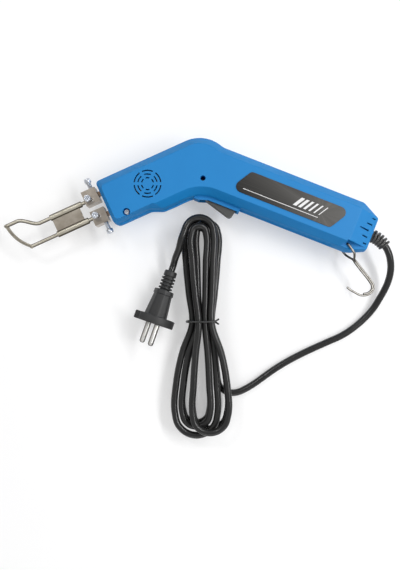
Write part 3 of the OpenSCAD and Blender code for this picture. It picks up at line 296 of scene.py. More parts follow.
def hank_points(h):
    """Points of the hank at half turns h: straight runs between round folds, rank by rank and layer by layer.

    Over six half turns the rank falls by one, stays, rises by one and stays, and the layer climbs meanwhile.
    Layers lean to either side in turn, so that the runs of one fill the opening of the next."""
    in_six = h % 6
    corners = [0, 2, 3, 5, 6]
    rank = OUTER_RANK + np.interp(in_six, corners, [0, -1, -1, 0, 0])
    layer = 2 * np.floor(h / 6) + np.interp(in_six, corners, [0, 0, 1, 1, 2])
    in_half = h % 1
    rising = np.floor(h) % 2 == 0
    fold = np.clip(np.abs(4 * in_half - 2) - 1, 0, 1) * math.pi / 2
    at_top = rising == (in_half > 0.5)
    way = np.clip(np.where(rising, 2 * in_half - 0.5, 1.5 - 2 * in_half), 0, 1)
    run_y = LOW_FOLD_Y + (TOP_FOLD_Y - LOW_FOLD_Y) * way
    share = lobe_share(run_y)
    high = run_y > WAIST_Y
    step = WAIST_STEP + share * (np.where(high, TOP_STEP, LOW_STEP) - WAIST_STEP)
    width = share * np.where(high, TOP_CORE, LOW_CORE) + rank * step
    lean = np.where(np.round(layer) % 2 == 0, 1, -1) * share * np.where(high, TOP_LEAN, -LOW_LEAN)
    x = HANK_X + lean + np.where(rising, 1, -1) * width * np.cos(fold)
    y = run_y + np.where(at_top, 1, -1) * width * np.sin(fold)
    z = CORD_R + layer * LAYER_STEP + WAIST_LIFT * (1 - share)
    return np.stack([x, y, z], -1)


loops = hank_points(np.arange(FIRST_RING, LAST_RING + 1) / RINGS_PER_HALF)
hank_in_dir = unit([-0.12, 1, 0])
hank_out_dir = unit([-0.36, -0.93, 0])
hank_in = loops[0] - LEAD_IN * hank_in_dir
hank_in[2] = CORD_R + TABLE_GAP
hank_out = loops[-1] + 2 * CORD_R * hank_out_dir
print("loops:", len(loops), "points,", round((LAST_RING - FIRST_RING) / RINGS_PER_HALF / 2, 1), "turns")

# %% Place of the plug
PLUG_HEADING, PLUG_TILT, PLUG_ROLL = np.radians([-109.1, 6, 62])
PLUG_FACE_R, PLUG_FACE_T, PLUG_GRIP, PLUG_BOOT = 18, 7, 24, 18
plug_rest_z = PLUG_FACE_R * math.cos(PLUG_TILT) + PLUG_FACE_T * math.sin(PLUG_TILT)
plug_at = np.array([-41.2, -131, plug_rest_z])
plug_x = np.array([
    math.cos(PLUG_TILT) * math.cos(PLUG_HEADING),
    math.cos(PLUG_TILT) * math.sin(PLUG_HEADING),
    math.sin(PLUG_TILT),
])
plug_level = np.array([-math.sin(PLUG_HEADING), math.cos(PLUG_HEADING), 0])
plug_up = np.cross(plug_x, plug_level)
plug_y = math.cos(PLUG_ROLL) * plug_level + math.sin(PLUG_ROLL) * plug_up
plug_z = np.cross(plug_x, plug_y)
boot_end = plug_at - (PLUG_FACE_T + PLUG_GRIP + PLUG_BOOT) * plug_x


def plug_points(x, y, z):
    """Points from plug places in millimetres: x towards the pins, y through both pins, z across them."""
    x, y, z = (np.asarray(value, float)[..., None] for value in np.broadcast_arrays(x, y, z))
    return (plug_at + x * plug_x + y * plug_y + z * plug_z) * MM


print("plug at", plug_at.round(1), "mm")

# %% [markdown]
# The three stretches are joined into one line, smoothed, and a circle is carried along it. The cord begins a
# little inside the bend protector and ends a little inside the plug's boot, as the real one does.

# %% Cord surface
CORD_STEP = 1.6 * MM
CORD_SIDES = 24
TUCK = 4
relief_exit = relief_path(RELIEF_LEN) / MM
relief_exit_dir = unit(relief_path(RELIEF_LEN) - relief_path(RELIEF_LEN - 0.1))
cord_route = np.concatenate([
    [relief_exit - TUCK * relief_exit_dir, relief_exit, relief_exit + CORD_R / 2 * relief_exit_dir],
    SUPPLY_ROUTE,
    [hank_in - 2 * CORD_R * hank_in_dir, hank_in, hank_in + 2 * CORD_R * hank_in_dir],
    loops,
    [hank_out, hank_out + 2 * CORD_R * hank_out_dir],
    LEAD_ROUTE,
    [boot_end - 2 * CORD_R * plug_x, boot_end, boot_end + TUCK * plug_x],
]) * MM
cord_path = smooth_path(cord_route, CORD_STEP)
cord_rings = tube_rings(cord_path, CORD_R * MM, CORD_SIDES)
mains_cord = piece("mains_cord", rings_mesh(cord_rings, way_along(cord_path)))
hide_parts("supply_cord", "cord_hank", "plug_lead")

# %% [markdown]
# ## Tie round the hank
# A thin plastic coated wire is wound once round the waist, and its two short ends stand out at the right.
# The loop is a rectangle with round corners seen along the cords, and the wire climbs a little along the
# cords on its way round, so that its ends pass each other.

# %% Tie
TIE_R, TIE_GAP, TIE_CORNER = 0.8, 0.5, 5
TIE_LAP, TIE_END, TIE_SPREAD = 3, 2.4, 1
LOW_END_Z, HIGH_END_Z = (16, 14.5), (19.5, 18.5)
RIGHT_RANK, TOP_LAYER = OUTER_RANK - 0.25, 3
tie_off = CORD_R + TIE_GAP + TIE_R
tie_left = HANK_X - OUTER_RANK * WAIST_STEP - tie_off
tie_right = HANK_X + RIGHT_RANK * WAIST_STEP + tie_off
tie_low = CORD_R + WAIST_LIFT - tie_off
tie_high = CORD_R + WAIST_LIFT + TOP_LAYER * LAYER_STEP + tie_off


def tie_loop(steps):
    """Corner arcs of the loop, from the lower right corner clockwise to the upper right one, as (x, z)."""
    left, right = tie_left + TIE_CORNER, tie_right - TIE_CORNER
    low, high = tie_low + TIE_CORNER, tie_high - TIE_CORNER
    middle = np.array([(right, low), (left, low), (left, high), (right, high)])
    start = np.radians([0, 270, 180, 90])[:, None]
    turn = start - np.linspace(0, math.pi / 2, steps)
    arcs = middle[:, None] + TIE_CORNER * np.stack([np.cos(turn), np.sin(turn)], -1)
    return arcs.reshape(-1, 2)


around = tie_loop(5)
climb = WAIST_Y + TIE_LAP * np.linspace(-0.5, 0.5, len(around))
low_y, high_y = WAIST_Y - TIE_LAP / 2, WAIST_Y + TIE_LAP / 2
near_x, far_x = tie_right + TIE_END / 3, tie_right + TIE_END
tie_route = np.concatenate([
    [(far_x, low_y - TIE_SPREAD, LOW_END_Z[0]), (near_x, low_y, LOW_END_Z[1])],
    np.stack([around[:, 0], climb, around[:, 1]], -1),
    [(near_x, high_y, HIGH_END_Z[0]), (far_x, high_y + TIE_SPREAD, HIGH_END_Z[1])],
]) * MM
tie_path = smooth_path(tie_route, 0.5 * MM)
tie_rings = rod_rings(tie_path, TIE_R * MM, 0.4 * MM, sides=12, across=(0, 1, 0))
tie_rings[..., 2] = np.maximum(tie_rings[..., 2], 0)
hank_tie = piece("tie_wire_loop", rings_mesh(tie_rings))
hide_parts("hank_tie")
print("tie:", round(way_along(tie_path)[-1] / MM), "mm of wire")

# %% [markdown]
# ## Bend protector
# Where the cord leaves the handle, a rubber sleeve keeps it from kinking. It is a row of thick rings on a
# thin neck, open on the outside of the bend and joined by bridges on its inside, so that it bends that way
# easily. A radius that depends on the way along and on the angle gives all of that in one surface.

# %% Bend protector
FIN_COUNT, FIN_START, FIN_EDGE = 5, 0.42, 0.12
RELIEF_R, RELIEF_TAPER, RELIEF_ROOT_R = 6, 0.4, 4.5
GAP_R, BRIDGE_DIP, BRIDGE_FROM, BRIDGE_FADE = 3.15, 0.6, 0.1, 0.8
RELIEF_RINGS, RELIEF_SIDES = 180, 48
ROOT_PROFILE = np.array([
    (-9, 5.6), (-8.6, 6), (-6.4, 6), (-6, 5.6), (-5.9, RELIEF_ROOT_R), (1.8, RELIEF_ROOT_R), (2, 4.2)
])
fin_pitch = RELIEF_LEN / FIN_COUNT


def soft_step(x):
    """0 below 0, 1 above 1, and a smooth S between."""
    x = np.clip(x, 0, 1)
    return x * x * (3 - 2 * x)


def soft_box(x, low, high, edge):
    """1 between low and high, falling to 0 over an edge inside them."""
    return soft_step((x - low) / edge) * soft_step((high - x) / edge)


def relief_radius(x, turn):
    """Radius of the bend protector: tapering fins with gaps, deep outside the bend and shallow inside it.

    Turn 90 degrees is the inside of the bend, where rubber bridges fill most of each gap."""
    share = (x % fin_pitch) / fin_pitch
    taper = RELIEF_R - RELIEF_TAPER * x / RELIEF_LEN
    fin = soft_box(share, FIN_START, 1.0, FIN_EDGE)
    inside = soft_step((np.sin(turn) - BRIDGE_FROM) / BRIDGE_FADE)
    gap = GAP_R + (taper - BRIDGE_DIP - GAP_R) * inside
    return gap + (taper - gap) * fin


relief_x = np.linspace(0.02, RELIEF_LEN, RELIEF_RINGS)
fin_radius = relief_radius(relief_x[:, None], full_turn(RELIEF_SIDES)[None])
fin_rings = tube_rings(relief_path(relief_x), fin_radius * MM, RELIEF_SIDES)
root_path = handle_points(HANDLE_LEN + ROOT_PROFILE[:, 0], RELIEF_T, 0)
root_rings = tube_rings(root_path, ROOT_PROFILE[:, 1] * MM, RELIEF_SIDES)
protector = piece("bend_protector", rings_mesh(fin_rings), rings_mesh(root_rings))
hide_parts("strain_relief")

# %% [markdown]
# ## Plug
# A moulded two pin plug: a round face plate, a grip with eight flats that widens towards it, a lip at the
# grip's end and a ribbed boot round the cord. The section changes from round to eight-sided, so the radius
# is a function of the way along and the angle: a sum of high powers of cosines has nearly flat sides.

# %% Plug body
GRIP_START = -PLUG_FACE_T - PLUG_GRIP
BOOT_START = GRIP_START - PLUG_BOOT
COLLAR, COLLAR_R, COLLAR_EDGE = 5, 5.7, 0.4
RIB_COUNT, RIB_LOW_R, RIB_RISE, RIB_START, RIB_EDGE = 4, 4.5, 1.7, 0.3, 0.14
END_ROUND, END_LEN = 0.5, 0.6
GRIP_HALVES, GRIP_GROWTH = (8.5, 7.2), (2.9, 2.4)
GRIP_LEAD, GRIP_FADE = 0.6, 0.8
LIP_RISE, LIP_FALL, LIP_LEAD, LIP_LEN, LIP_EDGE = 0.9, 0.6, 0.4, 4.6, 0.8
FLAT_POWER = 22
PLUG_RINGS, PLUG_SIDES = 240, 96
FACE_EDGE, NOTCH_DEPTH, NOTCH_HALF = 0.9, 3.5, 0.27
rib_pitch = (PLUG_BOOT - COLLAR - 1) / RIB_COUNT


def eight_sided(turn, power):
    """Radius of a rounded octagon of unit half width: powers of the cosines to its pairs of flats, added."""
    flats = np.arange(4) * math.pi / 4
    spread = np.abs(np.cos(turn[..., None] - flats)) ** power
    return spread.sum(-1) ** (-1 / power)


def plug_half_sizes(x):
    """Half width and half height of the plug along its axis, and how eight-sided it is there.

    The boot has a collar and ribs, the grip a lip at its start; the grip widens towards the face plate."""
    rib_share = ((x - BOOT_START - COLLAR) % rib_pitch) / rib_pitch
    ribs = RIB_LOW_R + RIB_RISE * soft_box(rib_share, RIB_START, 1, RIB_EDGE)
    collar = soft_box(x, BOOT_START - 1, BOOT_START + COLLAR, COLLAR_EDGE)
    rounded_end = END_ROUND * (1 - soft_step((x - BOOT_START) / END_LEN))
    boot = ribs + (COLLAR_R - ribs) * collar - rounded_end
    in_grip = soft_step((x - GRIP_START + GRIP_LEAD) / GRIP_FADE)
    lip = soft_box(x, GRIP_START - LIP_LEAD, GRIP_START + LIP_LEN, LIP_EDGE)
    grow = np.clip((x - GRIP_START) / PLUG_GRIP, 0, 1)
    lip_height = (LIP_RISE - LIP_FALL * grow) * lip
    wide, high = (half + rise * grow + lip_height for half, rise in zip(GRIP_HALVES, GRIP_GROWTH))
    return boot + (wide - boot) * in_grip, boot + (high - boot) * in_grip, in_grip


def face_plate_rings(edge):
    """Rings over the face plate: a circle with a notch at top and bottom, its rims rounded."""
    notch = NOTCH_DEPTH * (1 - soft_step((np.abs(np.cos(plug_turn)) / NOTCH_HALF - 0.85) / 0.3))
    bend = np.linspace(0, math.pi / 2, 6)
    inset = edge * (1 - np.sin(np.concatenate([bend, bend[::-1]])))[:, None]
    rise = edge * (1 - np.cos(bend))
    x = np.concatenate([-PLUG_FACE_T + rise, -rise[::-1]])[:, None]
    radius = PLUG_FACE_R - notch - inset
    return plug_points(x, radius * np.cos(plug_turn), radius * np.sin(plug_turn))


plug_way = np.linspace(BOOT_START, -PLUG_FACE_T + 0.5, PLUG_RINGS)[:, None]
plug_turn = full_turn(PLUG_SIDES)
half_y, half_z, flat = plug_half_sizes(plug_way)
shape = 1 + (eight_sided(plug_turn, FLAT_POWER) - 1) * flat
grip_rings = plug_points(plug_way, half_y * shape * np.cos(plug_turn), half_z * shape * np.sin(plug_turn))
plug = piece("plug_moulding", rings_mesh(grip_rings), rings_mesh(face_plate_rings(FACE_EDGE)))
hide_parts("plug_body")

# %% Plug pins
PIN_R, PIN_LEN, PIN_PITCH, PIN_SIDES = 2.4, 19, 19, 32
# The tip as (way back from the pin's end, how much thinner than the wall)
PIN_TIP = np.array([(1.4, 0.1), (0.8, 0.45), (0.35, 0.85), (0.08, 1.2), (0, 1.5)])


def pin_rings(side):
    """A pin turned on its axis: a straight wall, a tapered nose and a small rounded tip."""
    wall = np.concatenate([[0], np.linspace(0.2, PIN_LEN - 2.4, 12)])
    x = np.concatenate([wall, PIN_LEN - PIN_TIP[:, 0]])[:, None]
    r = np.concatenate([0 * wall + PIN_R, PIN_R - PIN_TIP[:, 1]])[:, None]
    turn = full_turn(PIN_SIDES)
    return plug_points(x, side * PIN_PITCH / 2 + r * np.cos(turn), r * np.sin(turn))


pins = piece("pin_pair", *(rings_mesh(pin_rings(side)) for side in (-1, 1)))
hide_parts("plug_pins")

# %% [markdown]
# The cord and what hangs on it, the tie, the bend protector and the plug, are now all made.

print("cord declared with", len(cord_path), "points on its line")

# %% [markdown]
# ## Blade loop
# Two nickel plated rods carry a heavy current into a short strip of steel, which gets hot. The lower rod is
# straight, the upper one swings out in an S. Each rod is a tube along a line, with rounded ends. The strip
# is a five-sided section, sharp on the outside, carried round an arc from tip to tip.

# %% Rods
ROD_R = 1.6
ROD_START, LOW_TIP, TIP_REACH, TIP_RISE = 94.6, 160, 13, 9.6
LOW_ROD_V, HIGH_ROD_V = 3.35, 19.05
FLARE_START, FLARE_LEN = LOW_TIP - 15, 18

low_path = nose_points(np.linspace(ROD_START, LOW_TIP + ROD_R, 90), LOW_ROD_V, 0)
high_u = np.concatenate([
    np.linspace(ROD_START, FLARE_START, 50, endpoint=False),
    np.linspace(FLARE_START, FLARE_START + FLARE_LEN, 50, endpoint=False),
    np.linspace(FLARE_START + FLARE_LEN, LOW_TIP + TIP_REACH + ROD_R, 40),
])
high_v = HIGH_ROD_V + TIP_RISE * soft_step((high_u - FLARE_START) / FLARE_LEN)
high_path = nose_points(high_u, high_v, 0)

for node, name, path in (("lower_rod", "straight_rod", low_path), ("upper_rod", "swung_rod", high_path)):
    path = smooth_path(path, 0.4 * MM)
    rod = piece(name, rings_mesh(rod_rings(path, ROD_R * MM, 0.5 * MM, sides=28)))
    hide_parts(node)

# %% Cutting strip and its brazed joints
STRIP_R, STRIP_W, STRIP_T = 35.8, 2.8, 3.6
BRAZE_SIZE = (1.9, 1.9, 1.95)
STRIP_RINGS, BRAZE_RINGS, BRAZE_SIDES = 70, 26, 36
low_tip = np.array([LOW_TIP, LOW_ROD_V])
high_tip = np.array([LOW_TIP + TIP_REACH, HIGH_ROD_V + TIP_RISE])
chord = high_tip - low_tip
half_chord = np.linalg.norm(chord) / 2
outward = np.array([chord[1], -chord[0]]) / (2 * half_chord)
strip_centre = (low_tip + high_tip) / 2 - outward * math.sqrt(STRIP_R ** 2 - half_chord ** 2)
strip_half_turn = math.asin(half_chord / STRIP_R)
strip_mid_turn = math.atan2(outward[1], outward[0])
strip_turn = (strip_mid_turn + np.linspace(-1, 1, STRIP_RINGS) * strip_half_turn)[:, None]

# The section goes round from the inner side over the sharp outer edge: (out from the arc, height)
strip_section = np.array([
    (-0.5, -0.42), (-0.42, -0.5), (-0.05, -0.5), (0.05, -0.45), (0.46, -0.06), (0.5, 0), (0.46, 0.06),
    (0.05, 0.45), (-0.05, 0.5), (-0.42, 0.5), (-0.5, 0.42),
]) * (STRIP_W, STRIP_T)
strip_reach = STRIP_R + strip_section[:, 0]
strip_rings = nose_points(
    strip_centre[0] + strip_reach * np.cos(strip_turn),
    strip_centre[1] + strip_reach * np.sin(strip_turn),
    strip_section[:, 1],
)


def braze_rings(centre, size):
    """A bead of braze: an egg whose radius swells and shrinks a little with angle, as run metal does."""
    rise = np.linspace(-0.97, 0.97, BRAZE_RINGS)[:, None] * math.pi / 2
    turn = full_turn(BRAZE_SIDES)
    lumps = 1 + 0.05 * np.sin(3 * turn + 2 * rise) + 0.04 * np.cos(5 * turn - rise)
    u = centre[0] + size[0] * lumps * np.cos(rise) * np.cos(turn)
    v = centre[1] + size[1] * lumps * np.cos(rise) * np.sin(turn)
    return nose_points(u, v, size[2] * np.sin(rise))


low_braze = braze_rings(low_tip + (0.2, 0.1), BRAZE_SIZE)
high_braze = braze_rings(high_tip + (0.2, -0.2), BRAZE_SIZE)
strip = piece("hot_strip", *map(rings_mesh, (strip_rings, low_braze, high_braze)))
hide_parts("cutting_strip")

# %% [markdown]
# ## Hanging hook
# A wire goes into each side of the handle, the two legs close up into a double shank, and one wire goes on
# alone round the open bend. Each wire is a tube along its own line. A vector square to the wire as seen from
# above is never in line with it, even where the wire turns down into its hole.

# %% Hook
HOOK_R = 0.95
HOOK_PIN, HOOK_LEG, HOOK_LEG_Z = 8, 10.5, 14.45
HOOK_S, HOOK_T = HANDLE_LEN - 20, -11.5
HOOK_JOIN, HOOK_DOUBLE, HOOK_FADE = 3, 42, 8
HOOK_SHANK = [(9.4, -13.3), (16.4, -22.4), (23.4, -31.4)]
HOOK_BEND = [
    (25.8, -35.8), (25.6, -39.2), (23, -42.2), (19, -43.6), (14.6, -43.4), (10.2, -41.7), (5.8, -39.2),
    (3.2, -37.1),
]
hook_hole = handle_points(HOOK_S, HOOK_T, 0) / MM
hook_dir = unit(HOOK_SHANK[0])


def hook_wire(side, double_only):
    """One wire: up its pin, round the corner, along the leg, down to the shank and on beside its twin.

    On the shank the wire is pressed against its twin beside the shank's middle line. The wire that goes on
    alone settles onto that line."""
    leg = np.array([
        (0, -HOOK_PIN), (0, -1.6), (0.45, -0.45), (1.6, 0), (HOOK_LEG - 3.5, 0), (HOOK_LEG - 1, -0.7),
        (HOOK_LEG + 1.2, -4), (HOOK_LEG + 3.6, -9), (HOOK_LEG + 5.4, -12.6),
    ]) + (0, HOOK_LEG_Z)
    start = np.concatenate([leg[:, :1] * hook_dir, side * leg[:, 1:]], 1)
    line = smooth_path([(x, y, 0) for x, y in HOOK_SHANK + HOOK_BEND], 0.8)
    way = way_along(line)
    ahead = unit(np.gradient(line, axis=0))
    beside = np.stack([-ahead[:, 1], ahead[:, 0], 0 * way], -1)
    reach = 0.75 * HOOK_R * (1 - soft_step((way - HOOK_DOUBLE) / HOOK_FADE))
    wire = line + side * reach[:, None] * beside
    kept = way > HOOK_JOIN
    if double_only:
        kept = kept & (way < HOOK_DOUBLE)
    return (np.concatenate([start, wire[kept]]) + hook_hole) * MM


def plan_side(path):
    """Vectors square to a path as seen from above; where it is upright, square to the hook's direction."""
    ahead = np.gradient(path, axis=0)[:, :2]
    upright = np.linalg.norm(ahead, axis=1, keepdims=True) < 1e-6
    ahead = np.where(upright, hook_dir, ahead)
    return np.stack([-ahead[:, 1], ahead[:, 0], 0 * ahead[:, 0]], -1)


hook_meshes = []
for side, double_only in ((1, False), (-1, True)):
    path = smooth_path(hook_wire(side, double_only), 0.3 * MM)
    rings = rod_rings(path, HOOK_R * MM, 0.4 * MM, sides=20, across=plan_side(path))
    hook_meshes.append(rings_mesh(rings))
hook = piece("wire_hook", *hook_meshes, body="hook")
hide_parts("hook")

# %% [markdown]
# ## Trigger spring
# The spring behind the trigger is a helix of steel wire: a circle that climbs at an even rate.

# %% Trigger spring
SPRING_S, SPRING_LOW, SPRING_TOP = 37.5, -8.7, -1.1
SPRING_R, SPRING_WIRE_R, SPRING_TURNS = 2.15, 0.35, 5
turn = np.linspace(0, 2 * math.pi * SPRING_TURNS, 40 * SPRING_TURNS)
rise = np.linspace(SPRING_LOW + SPRING_WIRE_R, SPRING_TOP - SPRING_WIRE_R, len(turn))
spring_path = handle_points(SPRING_S + SPRING_R * np.cos(turn), rise, SPRING_R * np.sin(turn))
spring_seat = handle_points(SPRING_S, SPRING_TOP, 0)
spring_up = unit(spring_seat - handle_points(SPRING_S, SPRING_LOW, 0))
spring_rings = rod_rings(spring_path, SPRING_WIRE_R * MM, 0.1 * MM, sides=10, across=spring_up)
spring = piece("lever_spring", rings_mesh(spring_rings))
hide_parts("trigger_spring")
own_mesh(spring)
print("spring:", round(way_along(spring_path)[-1] / MM), "mm of wire")

# %% [markdown]
# ## Threaded screws
# The clamp screws stand out of their blocks, so their threads show. A thread is a radius that rises and
# falls as a triangle wave along the screw, shifted by one pitch in each turn. The head has a six-sided
# socket: its wall is a radius that follows a hexagon. One profile from the tip over the head into the socket
# makes it all.

# %% Screw surface
SCREW_R, SCREW_HEAD_R, HEAD_H, SOCKET_R = 2.0, 2.9, 3.8, 1.5
THREAD_PITCH, THREAD_DEPTH, RUN_OUT = 0.7, 0.32, 0.4
KNURL_COUNT, KNURL_DEPTH = 20, 0.02
TIP_SHARE, TIP_LEN = 0.72, 0.8
SCREW_SIDES, RINGS_PER_PITCH = 60, 10
# The head as (height over its underside, radius, share of hexagon, share of knurl)
HEAD_PROFILE = np.array([
    (0, SCREW_R, 0, 0), (0, 2.6, 0, 0), (0.25, SCREW_HEAD_R, 0, 1), (HEAD_H - 0.4, SCREW_HEAD_R, 0, 1),
    (HEAD_H - 0.12, 2.78, 0, 0), (HEAD_H, 2.5, 0, 0), (HEAD_H, 1.8, 0, 0), (HEAD_H - 0.25, 1.62, 0.8, 0),
    (HEAD_H - 2.1, SOCKET_R, 1, 0), (HEAD_H - 2.3, 0.5, 0, 0),
])


def screw_rings(shank):
    """Rings of a socket screw as (along, two across): thread, head side, rim, socket and its floor."""
    turn = full_turn(SCREW_SIDES)
    z = np.linspace(0, shank, int(shank / THREAD_PITCH * RINGS_PER_PITCH))[:, None]
    wave = (z / THREAD_PITCH - turn / (2 * math.pi)) % 1
    thread = SCREW_R - THREAD_DEPTH * np.abs(2 * wave - 1) * np.minimum(1, (shank - z) / RUN_OUT)
    tip = np.minimum(1, TIP_SHARE + (1 - TIP_SHARE) * z / TIP_LEN)
    head_z, head_r, hexed, knurled = HEAD_PROFILE.T[:, :, None]
    hexagon = math.cos(math.pi / 6) / np.cos((turn + math.pi / 6) % (math.pi / 3) - math.pi / 6)
    knurl = 1 + KNURL_DEPTH * knurled * np.cos(KNURL_COUNT * turn)
    radius = np.concatenate([thread * tip, head_r * (1 + hexed * (hexagon - 1)) * knurl])
    return np.concatenate([z, shank + head_z]), radius * np.cos(turn), radius * np.sin(turn)


BLOCK_U, BLOCK_H, BLOCK_HALF, BAR_IN, BAR_T = 88, 12, 6.5, 6, 3
FIT = 0.1
BLADE_V, LEG_HALF = 11.2, 9.35
FACE_SCREW_U = BLOCK_U + BAR_IN + 3
SIDE_SCREW_U = BLOCK_U + BAR_IN / 2 + 1
FACE_SHANK = BLOCK_H / 2 - ROD_R - FIT + 2
SIDE_SHANK = BLOCK_HALF - BAR_T / 2 - FIT + 6.2
SIDE_FOOT = LEG_HALF + BAR_T / 2 + FIT

along, a, b = screw_rings(FACE_SHANK)
face_screws = [nose_points(FACE_SCREW_U - a, v + b, ROD_R + FIT + along) for v in (LOW_ROD_V, HIGH_ROD_V)]
along, a, b = screw_rings(SIDE_SHANK)
side_screws = [
    nose_points(SIDE_SCREW_U - a, BLADE_V + out * (SIDE_FOOT + along), -out * b) for out in (-1, 1)
]
for node, name, screws in (
    ("block_screws", "face_clamp_screws", face_screws), ("side_screws", "side_clamp_screws", side_screws)
):
    made = piece(name, *map(rings_mesh, screws))
    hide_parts(node)

# %% [markdown]
# ## Rigid pieces from the frame
# The housing halves, trigger, clamp blocks, sleeve, plate and housing screws already have the right shape,
# but as loose flat triangles. A copy has its points joined and its flat faces made whole. Faces then shade
# smoothly except across creases, a Bevel modifier breaks the edges as moulding and tumbling do, and weighted
# normals keep the large faces flat.

# %% Joined copies with broken edges
CREASE = math.radians(24)
LEVEL = math.radians(0.5)
SAME_POINT = 1e-6
# Node: name of its copy, broken edge in millimetres, slot, and where they differ, bevel segments and body
SOFT_COPIES = {
    "left_shell": ("left_half", 0.25, "housing_plastic"),
    "right_shell": ("right_half", 0.25, "housing_plastic"),
    "trigger": ("trigger_lever", 0.7, "trigger_plastic", 3, "trigger"),
    "label_plate": ("handle_plate", 0.15, "label_metal"),
    "upper_clamp_block": ("upper_block", 0.3, "nickel"),
    "lower_clamp_block": ("lower_block", 0.3, "nickel"),
    "blade_sleeve": ("rod_sleeve", 0.15, "nickel"),
    "shell_screws": ("housing_screws", 0.12, "zinc_screw"),
}


def soft_copy(node, name, edge, segments=2, body="housing"):
    """A copy of a CAD node: points joined, flat faces whole, creases sharp, edges broken by a bevel."""
    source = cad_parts[node].data
    points = np.empty(3 * len(source.vertices))
    corners = np.empty(len(source.loops), np.int64)
    source.vertices.foreach_get("co", points)
    source.loops.foreach_get("vertex_index", corners)
    points = points.reshape(-1, 3)
    keys = np.round(points / SAME_POINT).astype(np.int64)
    _, first, same = np.unique(keys, axis=0, return_index=True, return_inverse=True)
    triangles = same.reshape(-1)[corners].reshape(-1, 3)
    whole = (np.diff(np.sort(triangles, axis=1), axis=1) > 0).all(1)
    mesh = bpy.data.meshes.new(name)
    mesh.from_pydata(points[first].tolist(), [], triangles[whole].tolist())
    shape = bmesh.new()
    shape.from_mesh(mesh)
    bmesh.ops.dissolve_limit(shape, angle_limit=LEVEL, verts=shape.verts, edges=shape.edges)
    shape.to_mesh(mesh)
    shape.free()
    mesh.shade_smooth()
    mesh.set_sharp_from_angle(angle=CREASE)
    made = piece(name, mesh, body=body)
    bevel = made.modifiers.new("broken edges", "BEVEL")
    bevel.width = edge
    bevel.segments = segments
    bevel.limit_method = "ANGLE"
    bevel.angle_limit = CREASE
    bevel.harden_normals = True
    level = made.modifiers.new("flat faces", "WEIGHTED_NORMAL")
    level.keep_sharp = True
    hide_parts(node)
    return made


for node, (name, edge, slot, *others) in SOFT_COPIES.items():
    soft_copy(node, name, edge * MM, *others)

# %% [markdown]
# ## Parting bead
# Where the two halves meet, a thin bead stands out along the lower edge. It could be cut into both halves,
# but a round section carried along that edge gives the same line: straight along the nose, down a small
# step, round the hollow of the elbow as far as the trigger's rim, and on along the handle behind it.

# %% Parting bead
NOSE_LOW, NECK_LOW, HANDLE_LOW = 11, 16.5, 16.5
ELBOW_R, ELBOW_POINTS = 30, 25
RIM_FRONT, RIM_BACK, BEAD_END = 3.5, 44.2, 132
BEAD_R, BEAD_SINK, BEAD_EDGE = 1.1, 0.05, 0.7
BEAD_STEP = 1.5 * MM
BEAD_NOSE = np.array([
    (82, -NOSE_LOW), (70, -NOSE_LOW), (58, -NOSE_LOW), (53.5, -NOSE_LOW - 0.3),
    (47, -(NOSE_LOW + NECK_LOW) / 2), (40.5, -NECK_LOW + 0.3), (36, -NECK_LOW),
])
elbow_lean = (NOSE_TILT - HANDLE_TILT) / 2
elbow_far = (NECK_LOW + ELBOW_R) / math.cos((NOSE_TILT + HANDLE_TILT) / 2)
elbow_turn = np.linspace(math.pi / 2 + NOSE_TILT, math.pi / 2 - HANDLE_TILT, ELBOW_POINTS)
bead_elbow = np.stack([
    elbow_far * math.sin(elbow_lean) + (ELBOW_R + BEAD_SINK) * np.cos(elbow_turn),
    -elbow_far * math.cos(elbow_lean) + (ELBOW_R + BEAD_SINK) * np.sin(elbow_turn),
    np.full(ELBOW_POINTS, MID_Z / MM),
], -1) * MM
handle_way = unit(handle_points(1, 0, 0) - handle_points(0, 0, 0))
bead_front = np.concatenate([
    nose_points(BEAD_NOSE[:, 0], BEAD_NOSE[:, 1] + BEAD_SINK, 0),
    bead_elbow[bead_elbow @ handle_way < RIM_FRONT * MM],
])
bead_back = handle_points(np.linspace(RIM_BACK, BEAD_END, 6), -HANDLE_LOW + BEAD_SINK, 0)
bead_meshes = []
for stretch in (bead_front, bead_back):
    bead_path = smooth_path(stretch, BEAD_STEP)
    bead_meshes.append(rings_mesh(rod_rings(bead_path, BEAD_R * MM, BEAD_EDGE * MM, sides=12)))
parting_bead = piece("parting_bead", *bead_meshes)

# %% [markdown]
# ## Print on the plate
# The plate carries a plain device of its own: a row of slanted bars that grow thinner, and one long line
# below. A layer of ink is a thin slab. Each bar is a box whose upper side is shifted along, like the plate's
# own ends.

# %% Bars of ink
PLATE_S, PLATE_T = HANDLE_LEN - 130.5, -5.6
PLATE_H, PLATE_SLANT = 19.6, 12
INK_Z, INK_THICK = 42.58, 0.05
BAR_STARTS, BAR_WIDTHS = 50 + 4.6 * np.arange(6), np.linspace(3, 0.8, 6)
BAR_LOW, BAR_HIGH = 6.4, 14.6
LINE_START, LINE_LEN = np.array([8.0]), np.array([67.0])
LINE_LOW, LINE_HIGH = 3.6, 4.1


def ink_slabs(starts, widths, low, high):
    """Slabs of ink as one mesh: corners (s, t) of each bar on two levels, the upper edge shifted along."""
    s = np.stack([starts, starts + widths, starts + widths, starts], -1)
    t = np.broadcast_to([low, low, high, high], s.shape)
    z = np.array([INK_Z, INK_Z + INK_THICK]) - MID_Z / MM
    corner_s = PLATE_S + s + t * PLATE_SLANT / PLATE_H
    points = handle_points(corner_s[:, None], PLATE_T + t[:, None], z[None, :, None])
    box = np.array([(3, 2, 1, 0), (4, 5, 6, 7), (0, 1, 5, 4), (1, 2, 6, 5), (2, 3, 7, 6), (3, 0, 4, 7)])
    faces = (8 * np.arange(len(starts))[:, None, None] + box).reshape(-1, 4)
    mesh = bpy.data.meshes.new("ink")
    mesh.from_pydata(points.reshape(-1, 3).tolist(), [], faces.tolist())
    return mesh


